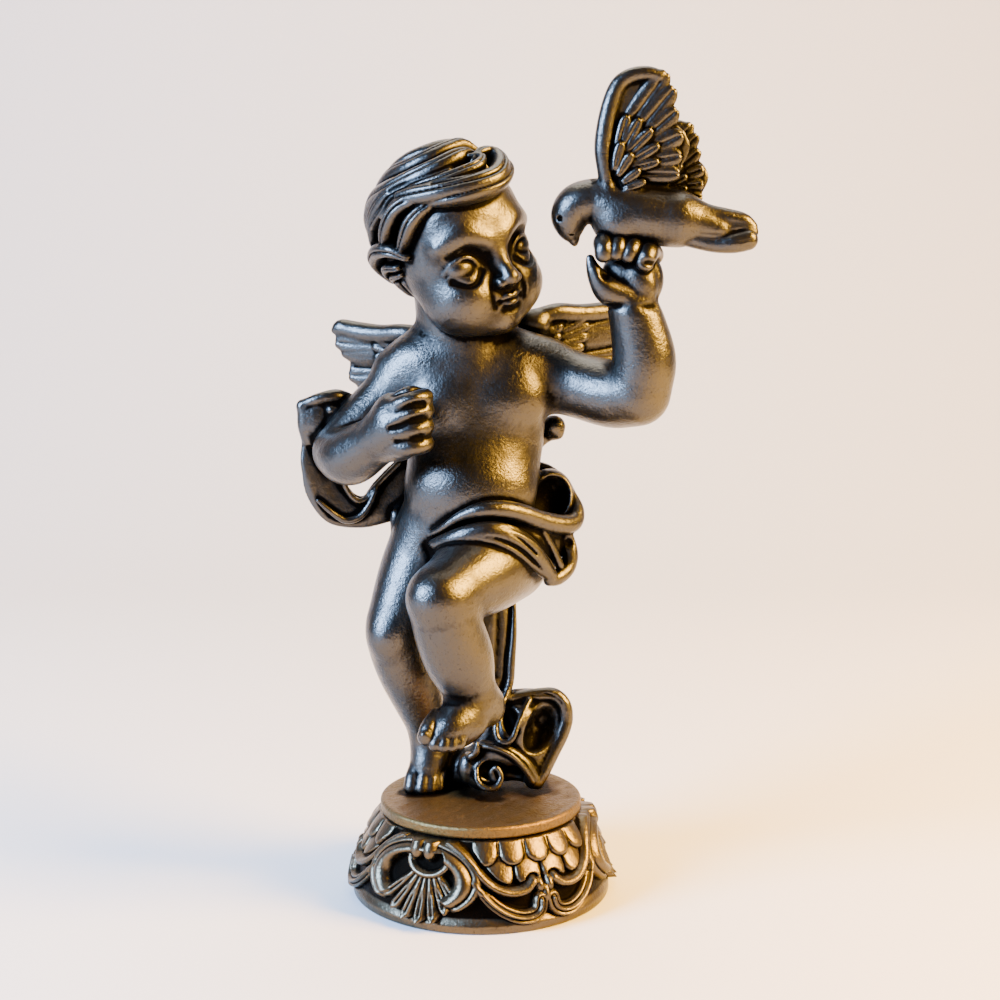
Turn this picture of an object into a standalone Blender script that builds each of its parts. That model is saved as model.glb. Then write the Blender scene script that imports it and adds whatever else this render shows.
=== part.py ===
"""Cherub figurine with a dove on its raised hand, standing on a low round rocaille socle.

Metres, +Z up. The origin is the centre of the socle's underside; the cherub's chest faces -Y.
The figure is free form: its pose and carving are shares (percent) of its own height.
The socle and the ground disc have sizes of their own.
"""

import math

import bmesh
import bpy
from mathutils import Matrix, Vector

MM = 0.001

# Socle
SOCLE_HEIGHT = 14.2 * MM
SOCLE_FOOT_DIAMETER = 44.6 * MM
SOCLE_TOP_DIAMETER = 34.2 * MM
RIM_HEIGHT = 2.2 * MM
RIM_STEP = 0.7 * MM
RELIEF_DEPTH = 1.5 * MM
CARTOUCHES = 3
CARTOUCHE_TURN = -28.0
SHELL_RIBS = 7

# Ground disc, cast in one with the figure
GROUND_DIAMETER = 34.8 * MM
GROUND_THICKNESS = 2.0 * MM
GROUND_ROUNDING = 0.6 * MM
SEAT_CLEARANCE = 0.3 * MM

# Figure, from the top of the ground disc to the tip of the dove's wing
FIGURE_HEIGHT = 123.5 * MM

# Fineness of the solids
SOCLE_TURNS = 180
FIGURE_VOXEL = 0.004 * FIGURE_HEIGHT
FIGURE_KEPT_FACES = 0.034
SOCLE_KEPT_FACES = 0.33
SOCLE_SPARE = 0.07
GROUND_SIDES = 64

GROUND_UNDERSIDE = SOCLE_HEIGHT + SEAT_CLEARANCE
GROUND_TOP = GROUND_UNDERSIDE + GROUND_THICKNESS
PERCENT = FIGURE_HEIGHT / 100.0

PEWTER = (0.20, 0.18, 0.16, 1.0)
DUSTY_PEWTER = (0.27, 0.21, 0.13, 1.0)


def clear_scene():
    for thing in list(bpy.data.objects):
        bpy.data.objects.remove(thing, do_unlink=True)


def metal(name, colour, roughness):
    material = bpy.data.materials.new(name)
    material.use_nodes = True
    shader = material.node_tree.nodes["Principled BSDF"]
    shader.inputs["Base Color"].default_value = colour
    shader.inputs["Metallic"].default_value = 1.0
    shader.inputs["Roughness"].default_value = roughness
    return material


def new_object(name, mesh_data, material=None):
    mesh = bpy.data.meshes.new(name)
    mesh_data.to_mesh(mesh)
    mesh_data.free()
    thing = bpy.data.objects.new(name, mesh)
    bpy.context.scene.collection.objects.link(thing)
    if material:
        mesh.materials.append(material)
    return thing


def mix(a, b, share):
    return a + (b - a) * share


def smooth_path(stations, steps):
    """Points on a Catmull-Rom curve through the stations, with `steps` to each span."""
    rows = [list(station) for station in stations]
    ends = [rows[0]] + rows + [rows[-1]]
    path = []
    for i in range(1, len(ends) - 2):
        before, start, end, after = ends[i - 1:i + 3]
        for step in range(steps):
            t = step / steps
            point = []
            for p, a, b, q in zip(before, start, end, after):
                curve = 2 * a + (b - p) * t + (2 * p - 5 * a + 4 * b - q) * t * t
                curve += (3 * a - p - 3 * b + q) * t ** 3
                point.append(curve / 2)
            path.append(point)
    path.append(rows[-1])
    return path


class Clay:
    """Closed lumps that overlap, measured in percent of the figure's height."""

    def __init__(self):
        self.mesh = bmesh.new()

    def skin(self, rings):
        loops = [[self.mesh.verts.new(point) for point in ring] for ring in rings]
        count = len(loops[0])
        for low, high in zip(loops, loops[1:]):
            for i in range(count):
                j = (i + 1) % count
                self.mesh.faces.new((low[i], low[j], high[j], high[i]))
        self.mesh.faces.new(list(reversed(loops[0])))
        self.mesh.faces.new(loops[-1])

    def ball(self, centre, radii, frame=None):
        matrix = Matrix.Translation(Vector(centre))
        if frame:
            matrix = matrix @ Matrix(frame).transposed().to_4x4()
        matrix = matrix @ Matrix.Diagonal((*radii, 1.0))
        bmesh.ops.create_icosphere(self.mesh, subdivisions=3, radius=1.0, matrix=matrix)

    def leaf(self, start, end, width, thickness, facing):
        """A flat egg from start to end, its broad side turned to `facing`."""
        start, end = Vector(start), Vector(end)
        along = (end - start).normalized()
        side = along.cross(Vector(facing)).normalized()
        up = side.cross(along)
        half = (end - start).length / 2
        self.ball((start + end) / 2, (half, width / 2, thickness / 2), (along, side, up))

    def limb(self, stations, sides=14, steps=4):
        """A round tube through (x, y, z, radius) with round ends."""
        path = smooth_path(stations, steps)
        points = [Vector(row[:3]) for row in path]
        rings = []
        side = None
        for i, row in enumerate(path):
            along = points[min(i + 1, len(points) - 1)] - points[max(i - 1, 0)]
            along.normalize()
            if side is None:
                side = along.orthogonal()
            side = (side - along * side.dot(along)).normalized()
            other = along.cross(side)
            ring = []
            for k in range(sides):
                turn = 2 * math.pi * k / sides
                ring.append(points[i] + (side * math.cos(turn) + other * math.sin(turn)) * row[3])
            rings.append(ring)
        self.skin(rings)
        for row in (stations[0], stations[-1]):
            self.ball(row[:3], (row[3],) * 3)

    def band(self, stations, steps=4, sides=10):
        """A strip of cloth through (x, y, z, half width as x, y, z, half thickness)."""
        path = smooth_path(stations, steps)
        points = [Vector(row[:3]) for row in path]
        rings = []
        for i, row in enumerate(path):
            along = points[min(i + 1, len(points) - 1)] - points[max(i - 1, 0)]
            across = Vector(row[3:6])
            out = along.cross(across).normalized() * row[6]
            ring = []
            for k in range(sides):
                turn = 2 * math.pi * k / sides
                ring.append(points[i] + across * math.cos(turn) + out * math.sin(turn))
            rings.append(ring)
        self.skin(rings)


# Head: its own frame, turned to the dove, nodding and tilted
HEAD_CENTRE = Vector((-4.85, 2.0, 79.6))
HEAD_TURN = 29.0
HEAD_NOD = 18.0
HEAD_TILT = 24.0
SCALP = (9.3, 11.5, 9.9)
SCALP_DROP = 1.0


def head_frame():
    nod = Matrix.Rotation(math.radians(HEAD_NOD), 3, "X")
    turn = Matrix.Rotation(math.radians(HEAD_TURN), 3, "Z")
    tilt = Matrix.Rotation(math.radians(-HEAD_TILT), 3, "Y")
    turned = tilt @ turn @ nod
    left = turned @ Vector((1, 0, 0))
    front = turned @ Vector((0, -1, 0))
    up = turned @ Vector((0, 0, 1))
    return left, front, up


HEAD_LEFT, HEAD_FRONT, HEAD_UP = head_frame()
HEAD_AXES = (HEAD_LEFT, HEAD_FRONT, HEAD_UP)


def in_head(left, front, up):
    return HEAD_CENTRE + HEAD_LEFT * left + HEAD_FRONT * front + HEAD_UP * up


def on_scalp(turn, rise, lift=0.0):
    """A point on the scalp: degrees from the front to the head's left, and up."""
    turn, rise = math.radians(turn), math.radians(rise)
    left = math.sin(turn) * math.cos(rise) * (SCALP[0] + lift)
    front = math.cos(turn) * math.cos(rise) * (SCALP[1] + lift)
    up = math.sin(rise) * (SCALP[2] + lift)
    return in_head(left, front, up - SCALP_DROP)


def torso(clay):
    clay.ball((-0.6, 3.0, 54.6), (9.4, 6.2, 8.0))
    clay.ball((-0.6, 3.0, 49.4), (9.2, 6.4, 7.4))
    clay.ball((-1.2, 1.8, 43.4), (9.4, 7.4, 8.6))
    clay.ball((-1.8, 3.0, 37.0), (9.6, 7.2, 7.0))
    clay.ball((-6.0, 6.0, 34.8), (5.4, 5.2, 5.8))
    clay.ball((3.0, 6.2, 34.4), (5.6, 5.2, 5.8))
    clay.limb([(-9.6, 3.8, 58.0, 4.0), (-1.0, 4.0, 60.0, 4.2), (9.0, 4.4, 58.8, 4.2)])
    clay.limb([(-1.8, 4.2, 60.0, 4.4), (-2.8, 3.0, 66.0, 4.2), (-3.4, 2.4, 70.0, 4.6)])
    for centre in ((-5.0, -0.6, 55.4), (4.2, -0.4, 55.8)):
        clay.ball(centre, (4.4, 3.0, 3.8))


def right_arm(clay):
    clay.limb([(-9.8, 3.6, 58.0, 4.3), (-13.0, 3.0, 54.8, 4.1), (-16.2, 1.4, 51.0, 3.9),
               (-18.2, 0.0, 48.0, 3.8)])
    clay.limb([(-18.2, 0.0, 48.0, 3.8), (-15.8, -3.4, 49.0, 3.9), (-12.8, -6.4, 51.4, 3.3)])
    clay.ball((-10.2, -7.6, 53.0), (3.8, 3.4, 4.4))
    for rise, reach in ((3.2, -7.6), (1.1, -7.0), (-1.0, -7.0), (-3.0, -7.4)):
        clay.limb([(-11.4, -9.6, 52.6 + rise, 1.1), (-9.0, -10.0, 53.0 + rise, 1.35),
                   (reach, -7.6, 53.4 + rise, 1.3)], sides=8)


def left_arm(clay):
    clay.limb([(8.8, 4.4, 58.6, 4.5), (13.5, 2.8, 57.4, 4.5), (18.2, 0.4, 56.4, 4.6),
               (21.2, -1.4, 56.8, 4.4)])
    clay.limb([(21.2, -1.4, 56.8, 4.4), (22.3, -2.4, 61.0, 4.3), (21.6, -3.0, 65.0, 3.7),
               (20.6, -3.4, 68.6, 2.9)])
    clay.ball((19.8, -3.6, 71.8), (3.8, 2.2, 3.6))
    clay.limb([(22.3, -3.6, 69.6, 1.6), (22.6, -3.4, 73.4, 1.3)], sides=8)
    clay.limb([(18.0, -4.4, 70.4, 1.5), (16.0, -5.2, 72.6, 1.1), (15.1, -5.4, 75.0, 0.7)], sides=8)
    for across, rise in ((16.9, 76.4), (18.7, 76.3), (20.5, 75.8), (22.2, 74.9)):
        clay.limb([(across, -3.6, rise - 3.0, 1.1), (across - 0.1, -3.4, rise, 1.15),
                   (across - 0.6, -5.6, rise + 0.4, 1.15), (across - 1.0, -6.8, rise - 1.4, 0.9)], sides=8)


def standing_leg(clay):
    clay.limb([(-6.2, 3.6, 36.4, 6.0), (-8.4, 2.6, 31.4, 5.7), (-10.6, 0.6, 26.4, 4.8),
               (-11.6, -0.4, 23.4, 4.3), (-10.4, 1.2, 18.4, 4.3), (-8.8, 3.0, 13.0, 3.6),
               (-7.4, 4.4, 8.0, 2.7)])
    clay.limb([(-7.4, 4.6, 8.0, 2.6), (-7.6, 4.4, 5.0, 2.3), (-8.0, 3.8, 2.2, 2.2), (-8.4, 3.2, 0.4, 2.0)])
    clay.ball((-6.0, 6.0, 5.4), (2.4, 2.4, 3.0))
    for across in (-9.8, -8.6, -7.4):
        clay.limb([(across + 0.5, 3.2, 3.2, 0.8), (across, 1.6, 0.6, 0.8)], sides=8)


def raised_leg(clay):
    clay.limb([(3.2, 1.8, 33.6, 6.4), (0.0, -3.6, 32.8, 6.2), (-3.0, -8.0, 31.6, 5.0),
               (-4.9, -10.4, 30.4, 4.6)])
    clay.limb([(-4.9, -10.4, 30.4, 4.6), (-4.2, -9.8, 26.4, 4.7), (-2.9, -8.4, 22.0, 4.7),
               (-1.8, -7.2, 18.4, 3.7), (-1.2, -6.6, 16.0, 3.0)])
    clay.limb([(-0.4, -5.8, 14.6, 2.5), (-2.0, -8.2, 13.4, 2.6), (-4.0, -10.4, 11.8, 2.3),
               (-4.8, -11.4, 10.8, 1.7)])
    clay.ball((0.4, -4.8, 14.2), (2.6, 2.6, 2.8))
    for across, reach in ((-6.8, 11.4), (-5.6, 10.4), (-4.5, 10.1), (-3.5, 10.0), (-2.6, 10.2)):
        clay.limb([(across + 0.9, -10.6, reach + 1.3, 0.8), (across, -12.6, reach, 0.75)], sides=8)


def face(clay):
    clay.ball(in_head(0, 2.4, -4.4), (8.8, 8.4, 8.8), HEAD_AXES)
    clay.ball(in_head(0, 4.6, 0.6), (8.0, 6.4, 7.0), HEAD_AXES)
    clay.ball(in_head(0.3, 6.0, -9.0), (5.6, 5.0, 4.8), HEAD_AXES)
    clay.ball(in_head(0.6, 8.4, -11.0), (3.2, 2.8, 2.6), HEAD_AXES)
    for side in (-1, 1):
        clay.ball(in_head(4.3 * side, 5.4, -7.4), (4.6, 4.6, 4.6), HEAD_AXES)
        clay.ball(in_head(3.8 * side, 9.2, -3.6), (1.9, 1.3, 1.2), HEAD_AXES)
        clay.ball(in_head(0.9 * side, 11.6, -6.6), (0.8, 0.9, 0.7), HEAD_AXES)
    clay.limb([(*in_head(0, 10.0, -2.4), 0.8), (*in_head(0, 11.6, -5.4), 0.9),
               (*in_head(0, 12.4, -6.2), 1.1)], sides=8)
    clay.leaf(in_head(-1.8, 10.4, -8.9), in_head(1.8, 10.4, -8.9), 1.1, 1.3, HEAD_UP)
    clay.leaf(in_head(-1.4, 10.3, -9.8), in_head(1.4, 10.3, -9.8), 1.1, 1.3, HEAD_UP)


# Locks of hair: (degrees round, degrees up) along each lock, and its half width in percent
LOCKS = (
    ([(-100, -12), (-84, 4), (-66, 22), (-42, 31)], 1.5),
    ([(-112, -4), (-92, 18), (-62, 33), (-30, 37), (4, 28)], 1.7),
    ([(-124, 6), (-98, 32), (-58, 46), (-18, 47), (20, 34)], 1.8),
    ([(-134, 18), (-104, 46), (-56, 59), (-6, 58), (34, 42)], 1.8),
    ([(-150, 26), (-120, 60), (-52, 72), (22, 66), (52, 44)], 1.9),
    ([(-172, 30), (-160, 70), (60, 80), (76, 52), (64, 30)], 2.0),
    ([(160, 26), (140, 62), (108, 66), (92, 40), (84, 16)], 2.0),
    ([(140, 10), (122, 36), (106, 30), (98, 8), (96, -12)], 2.0),
    ([(178, 6), (160, -8), (142, -20), (120, -32)], 2.0),
    ([(-150, 4), (-152, -14), (-146, -32)], 2.0),
    ([(-170, 14), (-174, -10), (-172, -34)], 2.0),
    ([(166, -6), (164, -26), (168, -42)], 2.0),
    ([(-128, -6), (-124, -24), (-116, -40)], 1.8),
)


def hair(clay):
    clay.ball(in_head(0, -1.2, -0.4), (SCALP[0] - 0.4, SCALP[1] - 1.6, SCALP[2] - 0.6), HEAD_AXES)
    for route, width in LOCKS:
        stations = [(*on_scalp(turn, rise, -0.3), width) for turn, rise in route]
        clay.limb(stations, sides=8)
    quiff = [(-46, 30), (-22, 25), (8, 22), (34, 24), (52, 34), (56, 48)]
    clay.limb([(*on_scalp(turn, rise, 0.6), 1.5) for turn, rise in quiff], sides=8)
    for side in (-1, 1):
        for turn, rise, size in ((92, -6, 1.9), (104, -16, 1.9), (96, -22, 1.4), (112, -30, 1.5)):
            clay.ball(on_scalp(side * turn, rise, -0.4), (size,) * 3)


def wing(clay, side):
    """A small wing behind the shoulder; side is -1 for the right wing and 1 for the left."""
    middle = -0.6

    def place(out, back, up):
        return (middle + side * out, back, up)

    clay.limb([(*place(3.6, 8.4, 60.6), 2.0), (*place(8.0, 10.6, 63.6), 1.7),
               (*place(13.0, 12.6, 63.6), 1.5), (*place(18.8, 14.0, 65.0), 1.3)], sides=10)
    feathers = (((5.0, 10.2, 62.6), (19.6, 14.2, 64.0), 3.6), ((5.0, 10.2, 61.6), (19.0, 14.2, 62.2), 3.4),
                ((5.0, 10.0, 60.6), (17.6, 14.0, 60.2), 3.4), ((4.6, 9.8, 59.6), (16.4, 13.6, 58.2), 3.2),
                ((4.2, 9.4, 58.6), (13.6, 12.8, 56.4), 3.2), ((3.6, 9.0, 57.6), (10.6, 11.8, 55.4), 3.0))
    for root, tip, width in feathers:
        clay.leaf(place(*root), place(*tip), width, 1.8, (side * 0.25, -1.0, 0.2))


def dove(clay):
    clay.ball((12.9, -2.6, 81.9), (3.2, 2.8, 3.1))
    clay.limb([(12.6, -2.8, 80.6, 2.2), (12.4, -2.9, 78.8, 1.1), (12.4, -2.9, 77.6, 0.4)], sides=8)
    clay.limb([(13.4, -2.6, 82.2, 2.9), (16.2, -2.8, 82.4, 3.1), (20.0, -3.2, 81.2, 3.9),
               (24.5, -3.6, 80.2, 3.6), (28.6, -4.2, 79.8, 2.6), (32.0, -4.8, 79.2, 1.9)])
    for rise, spread in ((1.5, -0.6), (0.0, 0.0), (-1.5, 0.6)):
        clay.leaf((28.0, -4.4, 79.6 + rise * 0.4), (36.4, -5.8 + spread, 78.2 + rise), 2.6, 2.0, (0, -1, 0.2))


def dove_wing(clay, root, lean, spread):
    """A raised wing: a smooth leading band and a fan of feathers from its root."""
    root = Vector(root)
    facing = (0.15, -1.0, lean)

    def place(along, up):
        return root + Vector((along * spread, -lean * up, up))

    lead = [(-1.4, 0.0, 1.2), (-2.8, 3.4, 1.2), (-2.6, 7.6, 1.2), (-0.8, 11.8, 1.2), (2.4, 14.6, 1.2),
            (5.2, 15.4, 0.9)]
    clay.limb([(*place(along, up), thick) for along, up, thick in lead], sides=8)
    for k in range(8):
        angle = math.radians(88 - 12.5 * k)
        reach = 15.8 - 0.85 * k
        tip = place(math.cos(angle) * reach * 0.9, math.sin(angle) * reach)
        clay.leaf(place(-0.8, 0.4 - 0.1 * k), tip, 3.6, 1.5, facing)
    for k in range(5):
        angle = math.radians(78 - 18 * k)
        tip = place(math.cos(angle) * 7.6, math.sin(angle) * 7.6)
        clay.leaf(place(-0.6, 0.2), tip, 2.4, 2.2, facing)


def hip_drapery(clay):
    clay.limb([(-8.6, -1.0, 35.6, 0.8), (-4.0, -5.4, 37.0, 0.9), (1.6, -5.6, 40.0, 1.2),
               (6.2, -3.8, 40.6, 1.4), (10.6, -1.6, 39.0, 1.5), (12.6, 1.0, 38.6, 1.5),
               (12.4, 4.4, 41.0, 1.3), (10.4, 6.4, 44.2, 1.1), (7.0, 8.0, 45.0, 1.1)])
    clay.band([(12.6, 1.4, 38.4, 0.2, 0.3, 1.6, 0.8), (12.8, 4.0, 40.0, 0.4, 0.4, 2.4, 0.8),
               (10.6, 6.6, 42.2, 0.4, 0.2, 2.6, 0.8), (6.6, 8.4, 42.6, 0.2, 0.2, 2.6, 0.8)])
    clay.limb([(-6.0, -4.6, 35.2, 0.8), (-1.2, -7.2, 36.4, 1.2), (3.0, -6.6, 36.4, 1.4),
               (6.6, -4.0, 34.4, 1.4), (9.2, -1.6, 32.6, 1.2), (10.8, 0.4, 32.6, 1.0)])
    clay.limb([(5.0, -5.0, 37.4, 1.0), (8.4, -3.2, 34.2, 1.0), (10.2, -1.4, 31.6, 1.2)])
    clay.band([(-3.0, -5.4, 36.6, 0.4, 0.2, 2.0, 1.2), (2.8, -5.2, 37.6, 0.6, 0.4, 3.0, 1.4),
               (7.6, -2.6, 36.2, 0.6, 0.6, 3.6, 1.6), (10.4, 1.0, 35.4, 0.4, 0.2, 3.4, 1.6),
               (9.6, 5.0, 36.4, 0.2, 0.2, 3.6, 1.4), (5.0, 9.0, 38.0, 0.0, 0.2, 3.6, 1.4),
               (-2.0, 10.0, 38.6, 0.0, 0.2, 3.4, 1.4), (-8.6, 8.0, 38.6, 0.0, 0.2, 3.2, 1.4),
               (-11.6, 4.0, 37.6, 0.0, 0.2, 2.6, 1.0)])


def swag_of_cloth(clay):
    """The scarf's end: a folded block behind the elbow, a hanging ribbon, back to the waist."""
    clay.limb([(-17.4, 5.0, 55.8, 1.5), (-20.6, 4.4, 55.6, 1.7), (-23.0, 3.6, 54.6, 1.6)])
    clay.limb([(-17.6, 5.0, 53.0, 1.6), (-20.4, 4.2, 52.2, 1.9), (-22.2, 3.4, 51.6, 1.7)])
    clay.leaf((-17.6, 5.0, 57.0), (-22.4, 3.8, 50.4), 6.4, 3.2, (0.2, -1, 0))
    clay.band([(-22.0, 4.0, 52.0, 1.6, 1.2, 0.4, 0.9), (-22.6, 4.0, 48.4, 1.6, 1.2, 0.2, 0.8),
               (-21.2, 4.4, 43.6, 2.0, 0.8, 1.2, 0.9), (-17.8, 5.0, 40.4, 1.4, 0.4, 2.4, 0.9),
               (-13.2, 5.6, 40.2, -0.2, 0.4, 3.2, 1.0), (-9.4, 6.4, 42.4, -1.0, 0.4, 4.2, 1.2),
               (-5.6, 7.4, 45.4, -1.0, 0.2, 4.4, 1.4)])
    clay.limb([(-21.4, 2.8, 48.6, 0.8), (-19.4, 3.4, 43.4, 0.8), (-16.2, 4.4, 41.2, 0.8),
               (-12.8, 5.0, 43.2, 0.8), (-10.0, 6.0, 46.8, 0.9)], sides=8)
    clay.band([(-5.6, 8.0, 46.0, 0.0, 0.4, 3.0, 1.4), (-1.0, 9.6, 44.0, 0.0, 0.4, 3.0, 1.4),
               (4.0, 9.0, 43.0, 0.0, 0.4, 3.0, 1.2)])


def hanging_drapery(clay):
    """The strip behind the legs and the heap of cloth that it makes on the ground."""
    clay.band([(1.6, 8.6, 36.0, 3.4, 0.6, 0.0, 1.6), (1.6, 7.6, 30.0, 2.8, 0.8, 0.0, 1.4),
               (1.4, 6.0, 24.0, 2.4, 0.6, 0.0, 1.3), (2.0, 5.2, 17.0, 2.2, 0.4, 0.0, 1.3),
               (2.2, 4.8, 12.0, 2.4, 0.4, 0.0, 1.6), (2.6, 4.8, 6.0, 3.2, 0.4, 0.0, 2.0)])
    clay.limb([(-4.6, 4.8, 2.0, 2.4), (-0.6, 4.6, 3.4, 2.8), (3.6, 4.8, 4.4, 3.0), (7.6, 5.6, 4.0, 2.6)])
    clay.limb([(4.2, 4.4, 12.6, 1.0), (8.4, 5.0, 13.2, 1.1), (11.6, 5.6, 12.0, 1.2), (12.2, 5.8, 9.2, 1.3),
               (10.8, 5.0, 5.4, 1.5), (8.4, 3.6, 1.6, 1.5)])
    clay.limb([(8.0, 4.6, 12.4, 1.0), (6.4, 2.8, 9.2, 1.1), (4.6, 1.6, 6.6, 1.0), (3.2, 1.6, 7.0, 0.8),
               (2.6, 2.6, 9.6, 0.8), (3.0, 3.8, 12.0, 0.8)])
    clay.band([(8.4, 6.0, 11.0, 2.8, 0.4, 0.4, 1.6), (7.4, 5.6, 7.4, 3.4, 0.4, 0.6, 1.8),
               (6.4, 4.8, 3.4, 3.2, 0.4, 0.4, 2.2), (6.0, 4.4, 0.4, 2.8, 0.4, 0.2, 2.2)])
    clay.limb([(0.6, 1.4, 5.8, 0.9), (3.6, 0.6, 5.4, 1.0), (6.4, 0.4, 3.4, 1.1), (8.4, 1.0, 1.0, 1.2)])
    clay.limb([(2.6, 1.0, 2.6, 0.9), (0.6, 0.4, 3.0, 0.9), (-0.4, 0.2, 1.4, 0.9), (0.8, -0.2, 0.4, 0.9),
               (2.6, 0.0, 0.4, 0.9)], sides=8)
    clay.leaf((-1.4, 1.0, 4.6), (-0.4, 2.0, 8.4), 3.0, 1.8, (0.2, -1, 0.2))


def ground_disc():
    """The thin round ground: a turned plate with a rounded upper edge."""
    radius = GROUND_DIAMETER / 2
    rows = [(radius - GROUND_ROUNDING, GROUND_TOP)]
    for step in range(1, 4):
        turn = math.pi / 2 * step / 3
        rows.append((radius - GROUND_ROUNDING * (1 - math.sin(turn)),
                     GROUND_TOP - GROUND_ROUNDING * (1 - math.cos(turn))))
    rows.append((radius - GROUND_ROUNDING, GROUND_UNDERSIDE))
    plate = bmesh.new()
    rings = []
    for across, up in rows:
        ring = []
        for k in range(GROUND_SIDES):
            turn = 2 * math.pi * k / GROUND_SIDES
            ring.append(plate.verts.new((across * math.cos(turn), across * math.sin(turn), up)))
        rings.append(ring)
    for high, low in zip(rings, rings[1:]):
        for i in range(GROUND_SIDES):
            j = (i + 1) % GROUND_SIDES
            plate.faces.new((high[i], low[i], low[j], high[j]))
    plate.faces.new(rings[0])
    plate.faces.new(list(reversed(rings[-1])))
    thing = new_object("ground_plate", plate)
    thing.hide_render = True
    thing.display_type = "WIRE"
    return thing


def cherub_with_dove():
    clay = Clay()
    for build in (torso, right_arm, left_arm, standing_leg, raised_leg, face, hair, dove,
                  hip_drapery, swag_of_cloth, hanging_drapery):
        build(clay)
    wing(clay, -1)
    wing(clay, 1)
    dove_wing(clay, (18.6, -5.4, 83.2), 0.08, 1.0)
    dove_wing(clay, (20.6, -2.0, 82.8), -0.12, 0.95)
    bmesh.ops.scale(clay.mesh, vec=(PERCENT,) * 3, verts=clay.mesh.verts)
    bmesh.ops.translate(clay.mesh, vec=(0, 0, GROUND_TOP), verts=clay.mesh.verts)
    bmesh.ops.recalc_face_normals(clay.mesh, faces=clay.mesh.faces)
    figure = new_object("cherub_with_dove", clay.mesh, metal("antiqued_pewter", PEWTER, 0.35))

    fuse = figure.modifiers.new("fuse", "REMESH")
    fuse.mode = "VOXEL"
    fuse.voxel_size = FIGURE_VOXEL
    soften = figure.modifiers.new("soften", "SMOOTH")
    soften.factor = 0.5
    soften.iterations = 3
    thin = figure.modifiers.new("thin_out", "DECIMATE")
    thin.ratio = FIGURE_KEPT_FACES
    ground = figure.modifiers.new("ground", "BOOLEAN")
    ground.operation = "UNION"
    ground.solver = "EXACT"
    ground.object = ground_disc()
    return figure


def near_curve(point, curve):
    """Distance in mm from a point to an open chain of points."""
    best = 1e9
    px, py = point
    for (ax, ay), (bx, by) in zip(curve, curve[1:]):
        dx, dy = bx - ax, by - ay
        share = ((px - ax) * dx + (py - ay) * dy) / max(dx * dx + dy * dy, 1e-9)
        share = min(max(share, 0.0), 1.0)
        best = min(best, math.hypot(px - ax - dx * share, py - ay - dy * share))
    return best


def round_ridge(distance, half_width):
    """1 on the ridge's line, 0 beyond its half width, round between."""
    share = abs(distance) / half_width
    return math.sqrt(1 - share * share) if share < 1 else 0.0


# Socle relief, drawn on the unrolled skirt: (degrees from the middle, share of the socle's height)
RING_HALF_TURN = 23.5
RING_MIDDLE = 0.58
RING_HALF_RISE = 0.37
RING_OPENING = 52.0
FAN_CENTRE = (3.0, 0.84)
FAN_LIP = 0.17
INNER_SWAG = ((-50, 0.97), (-41, 0.93), (-33, 0.77), (-25, 0.57), (-18, 0.49), (-11, 0.52), (-5, 0.62))
OUTER_SWAG = ((-33, 0.72), (-30, 0.52), (-24, 0.30), (-15, 0.20), (-7, 0.25), (-3, 0.38))
UPPER_SCALES = (-28, -14, 0, 14, 28)
LOWER_SCALES = (-21, -7, 7, 21)


def skirt_radius(rise):
    """The plain skirt: an upright rim, a step in, and a domed slope to the top."""
    foot = SOCLE_FOOT_DIAMETER / 2
    top = SOCLE_TOP_DIAMETER / 2
    rim = RIM_HEIGHT / SOCLE_HEIGHT
    if rise <= rim:
        return foot
    share = min((rise - rim) / (1 - rim), 1.0)
    return mix(foot - RIM_STEP, top, share ** 1.35)


MIDDLE_RADIUS = skirt_radius(0.5)


def unrolled(degrees, rise):
    """A place on the skirt in metres: along the middle circle, and up."""
    return math.radians(degrees) * MIDDLE_RADIUS, rise * SOCLE_HEIGHT


def shell_relief(degrees, rise):
    place = unrolled(degrees, rise)
    across, up = unrolled(RING_HALF_TURN, RING_HALF_RISE)
    middle = unrolled(0, RING_MIDDLE)
    angle = math.atan2((place[0] - middle[0]) / across, -(place[1] - middle[1]) / up)
    away = math.hypot((place[0] - middle[0]) / across, (place[1] - middle[1]) / up)
    height = 0.0
    band = 0.06 * SOCLE_HEIGHT
    if abs(math.degrees(angle)) > RING_OPENING / 2:
        for offset in (-1, 1):
            off = (away - 1) * (across + up) / 2 - band * offset
            height = max(height, 0.9 * round_ridge(off, band * 1.05))
    fan = unrolled(*FAN_CENTRE)
    dx, dy = place[0] - fan[0], fan[1] - place[1]
    reach = math.hypot(dx, dy)
    turn = math.degrees(math.atan2(dx, dy))
    lip = FAN_LIP * SOCLE_HEIGHT
    if abs(turn) < 84:
        spacing = 156.0 / SHELL_RIBS
        off = (turn + 78.0) % spacing - spacing / 2
        width = math.radians(spacing / 2) * reach
        length = mix(0.78, 0.34, (abs(turn) / 84) ** 1.2) * SOCLE_HEIGHT
        if lip < reach < length:
            height = max(height, 0.72 * round_ridge(math.radians(off) * reach, width * 0.9))
        height = max(height, 0.85 * round_ridge(reach - lip, 0.06 * SOCLE_HEIGHT))
    knot = unrolled(3, 0.96)
    height = max(height, round_ridge(math.hypot(place[0] - knot[0], place[1] - knot[1]), 0.1 * SOCLE_HEIGHT))
    return height


def drop_relief(place, degrees, low, high, width):
    """A scale that tapers and swells like a hanging drop."""
    top = unrolled(degrees, high)
    foot = unrolled(degrees, low)
    share = (top[1] - place[1]) / (top[1] - foot[1])
    if not -0.05 < share < 1.1:
        return 0.0
    half = width * (0.62 if share < 0.5 else 0.62 * math.sqrt(max(0.0, 1 - ((share - 0.5) / 0.6) ** 2)))
    off = abs(place[0] - foot[0])
    if off > half or half <= 0:
        return 0.0
    return mix(0.35, 0.8, min(1.0, share * 1.2)) * math.sqrt(1 - (off / half) ** 2)


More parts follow.
